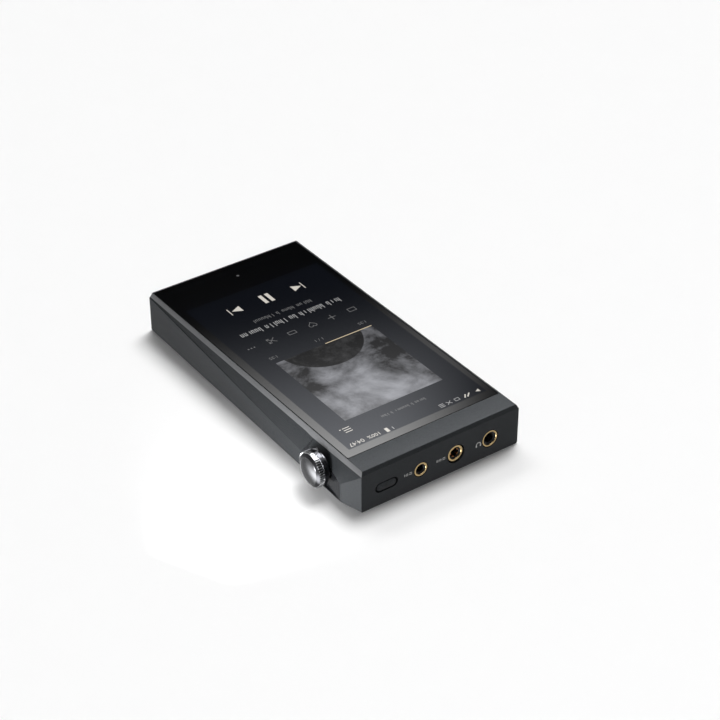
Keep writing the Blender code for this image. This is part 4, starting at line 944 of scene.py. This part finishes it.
numerals("clock_time", "04:47", 2.1, 25.9, 52.2, WHITE_MARK)
numerals("charge_left", "100%", 1.9, 18.4, 52.2, WHITE_MARK)
numerals("track_number", "1 / 1", 1.7, -0.1, -8.4, DIM_MARK)
numerals("time_played", "1:35", 1.7, 20.4, -8.4, DIM_MARK)
numerals("time_left", "1:35", 1.7, -20.0, -8.4, DIM_MARK)

# the touch key: a small dot on the glass past the end of the page
DOT_AT = (0.18, -64.25)
DOT_RADIUS = 0.55
dot = []
for k in range(16):
    turn = math.pi * k / 8
    dot.append((DOT_AT[0] + DOT_RADIUS * math.cos(turn),
                DOT_AT[1] + DOT_RADIUS * math.sin(turn)))
film("touch_dot", [dot], 3, DIM_MARK)

# ------------------------------------------------------------------------ studio
# A plain pale floor under a broad key light from behind and above, in a dim room
# with one bright panel that the glass mirrors, and a small weak lamp low on the
# wheel's side.
FLOOR_HALF = 40.0
FLOOR_DROP = 0.02 * MM       # below the feet, so that the two never meet
PANEL_TURN = -104.0          # where the bright wall panel stands, degrees from +X
PANEL_FOOT = (0.68, 0.875)   # soft lower edge, as rise over run
PANEL_HEAD = (1.0, 1.5)      # soft upper edge
PANEL_SIDE = (0.40, 0.51)    # soft side edges, as run over run
PANEL_GLOW = 5.8
ROOM_GLOW = 0.14
WALL_SHADE = 0.95            # share of the room's glow that the panel's wall loses
WALL_HEAD = (0.66, 0.95)     # where that shade ends above, as rise over run
WALL_SIDE = (0.7, 1.5)       # and at the sides
CEILING = (0.78, 0.86)       # where a card overhead fades in, for reflections only
CEILING_GLOW = 1.2
BELOW_GLOW = 0.45            # what a reflection finds below the horizon
CARD_GLOW = 9.5              # and a light card there, on the wheel's side
CARD_ACROSS = (0.50, 0.74)   # where that card fades in, along +X
CARD_DOWN = (0.36, 0.58)     # and downwards
HORIZON = (-0.02, 0.02)      # how softly the room turns into what lies below
BACKDROP = 0.95              # what the camera sees past the floor
KEY_FROM = (-0.95, -0.50, 1.75)
KEY_WIDTH = 30.0             # degrees across
KEY_POWER = 2.56
SIDE_POWER = 0.019
floor_mesh = bpy.data.meshes.new("floor")
floor_mesh.from_pydata([(x, y, 0) for x, y in rectangle(
    -FLOOR_HALF, -FLOOR_HALF, FLOOR_HALF, FLOOR_HALF)], [], [(0, 1, 2, 3)])
floor = bpy.data.objects.new("floor", floor_mesh)
floor.location.z = cad_low.z - FLOOR_DROP
bpy.context.scene.collection.objects.link(floor)
floor.visible_glossy = False
floor_mesh.materials.append(finish_of("pale floor", (0.92, 0.92, 0.92), 0.6,
                                      grain=0.0, mottling=0.01, bump=0.0))

world = bpy.data.worlds.new("studio")
bpy.context.scene.world = world
bpy.context.scene.view_settings.view_transform = "Standard"
world.use_nodes = True


def light_room(tree):
    """A dim room with a bright panel, a card overhead and one below the horizon."""
    link = tree.links.new
    way = put(tree, "ShaderNodeTexCoord")
    facing = put(tree, "ShaderNodeVectorRotate", rotation_type="Z_AXIS")
    facing.inputs["Angle"].default_value = math.radians(-PANEL_TURN)
    link(way.outputs["Generated"], facing.inputs["Vector"])
    parts = put(tree, "ShaderNodeSeparateXYZ")
    link(facing.outputs[0], parts.inputs[0])
    ahead = put(tree, "ShaderNodeMath", operation="MAXIMUM")
    link(parts.outputs["X"], ahead.inputs[0])
    ahead.inputs[1].default_value = 0.001

    def fade(value, start, end, rising):
        """A soft step from 0 to 1, or from 1 to 0 where it doesn't rise."""
        ramp = put(tree, "ShaderNodeMapRange", interpolation_type="SMOOTHSTEP")
        link(value, ramp.inputs["Value"])
        ramp.inputs["From Min"].default_value = start
        ramp.inputs["From Max"].default_value = end
        ramp.inputs["To Min"].default_value = 0.0 if rising else 1.0
        ramp.inputs["To Max"].default_value = 1.0 if rising else 0.0
        return ramp.outputs["Result"]

    def math_of(operation, first, second):
        """The result of one Math node on two numbers or sockets."""
        node = put(tree, "ShaderNodeMath", operation=operation)
        for i, value in enumerate((first, second)):
            if isinstance(value, float):
                node.inputs[i].default_value = value
            else:
                link(value, node.inputs[i])
        return node.outputs[0]

    rise = math_of("DIVIDE", parts.outputs["Z"], ahead.outputs[0])
    aside = math_of("DIVIDE", parts.outputs["Y"], ahead.outputs[0])
    aside_size = math_of("ABSOLUTE", aside, 0.0)
    panel = math_of("MULTIPLY", fade(rise, *PANEL_FOOT, True),
                    fade(rise, *PANEL_HEAD, False))
    panel = math_of("MULTIPLY", panel, fade(aside_size, *PANEL_SIDE, False))
    glow = math_of("MULTIPLY", panel, PANEL_GLOW)
    # the wall under the panel stays dark, the rest of the room is pale
    dark = math_of("MULTIPLY", fade(rise, *WALL_HEAD, False),
                   fade(aside_size, *WALL_SIDE, False))
    in_front = math_of("GREATER_THAN", parts.outputs["X"], 0.0)
    dark = math_of("MULTIPLY", dark, in_front)
    room = math_of("MULTIPLY_ADD", dark, -ROOM_GLOW * WALL_SHADE)
    room.node.inputs[2].default_value = ROOM_GLOW
    seen = put(tree, "ShaderNodeLightPath")
    straight = put(tree, "ShaderNodeSeparateXYZ")
    link(way.outputs["Generated"], straight.inputs[0])
    ceiling = math_of("MULTIPLY", fade(straight.outputs["Z"], *CEILING, True),
                      CEILING_GLOW)
    ceiling = math_of("MULTIPLY", ceiling, seen.outputs["Is Glossy Ray"])
    above = math_of("ADD", math_of("ADD", room, glow), ceiling)
    down = math_of("MULTIPLY", straight.outputs["Z"], -1.0)
    card = math_of("MULTIPLY", fade(straight.outputs["X"], *CARD_ACROSS, True),
                   fade(down, *CARD_DOWN, True))
    below = math_of("MULTIPLY_ADD", card, CARD_GLOW)
    below.node.inputs[2].default_value = BELOW_GLOW
    horizon = put(tree, "ShaderNodeMix", data_type="FLOAT")
    link(fade(down, *HORIZON, True), horizon.inputs["Factor"])
    link(above, horizon.inputs["A"])
    link(below, horizon.inputs["B"])
    shown = put(tree, "ShaderNodeMix", data_type="FLOAT")
    link(seen.outputs["Is Camera Ray"], shown.inputs["Factor"])
    link(horizon.outputs["Result"], shown.inputs["A"])
    shown.inputs["B"].default_value = BACKDROP
    link(shown.outputs["Result"], tree.nodes["Background"].inputs["Strength"])
    tree.nodes["Background"].inputs["Color"].default_value = (1, 1, 1, 1)


light_room(world.node_tree)


def softbox(name, place, target, width, height, power, spread):
    """A rectangular lamp at a place, turned towards a target; spread in degrees."""
    light = bpy.data.lights.new(name, "AREA")
    light.spread = math.radians(spread)
    light.shape = "RECTANGLE"
    light.size = width
    light.size_y = height
    light.energy = power
    lamp = bpy.data.objects.new(name, light)
    lamp.location = place
    lamp.rotation_euler = (Vector(target) - Vector(place)).to_track_quat(
        "-Z", "Y").to_euler()
    lamp.visible_camera = False
    bpy.context.scene.collection.objects.link(lamp)


softbox("side fill", (0.100, 0.064, 0.012), (0.037, 0.034, 0.009), 0.03, 0.014,
        SIDE_POWER, 90.0)

# the key is broad and far away, so that it lights the whole floor evenly
key = bpy.data.objects.new("back key", bpy.data.lights.new("back key", "SUN"))
key.data.energy = KEY_POWER
key.data.angle = math.radians(KEY_WIDTH)
key.rotation_euler = Vector(KEY_FROM).to_track_quat("Z", "Y").to_euler()
bpy.context.scene.collection.objects.link(key)

camera = bpy.data.objects.new("camera", bpy.data.cameras.new("camera"))
bpy.context.scene.collection.objects.link(camera)
bpy.context.scene.camera = camera
camera.data.lens = 98.47
camera.data.sensor_width = 36.0
camera.data.clip_start = 0.01
camera.data.clip_end = 100.0
camera.location = (0.34121, 0.50218, 0.42883)
CAMERA_TURN = (55.5446, 0.0126, 144.3430)
camera.rotation_euler = [math.radians(angle) for angle in CAMERA_TURN]
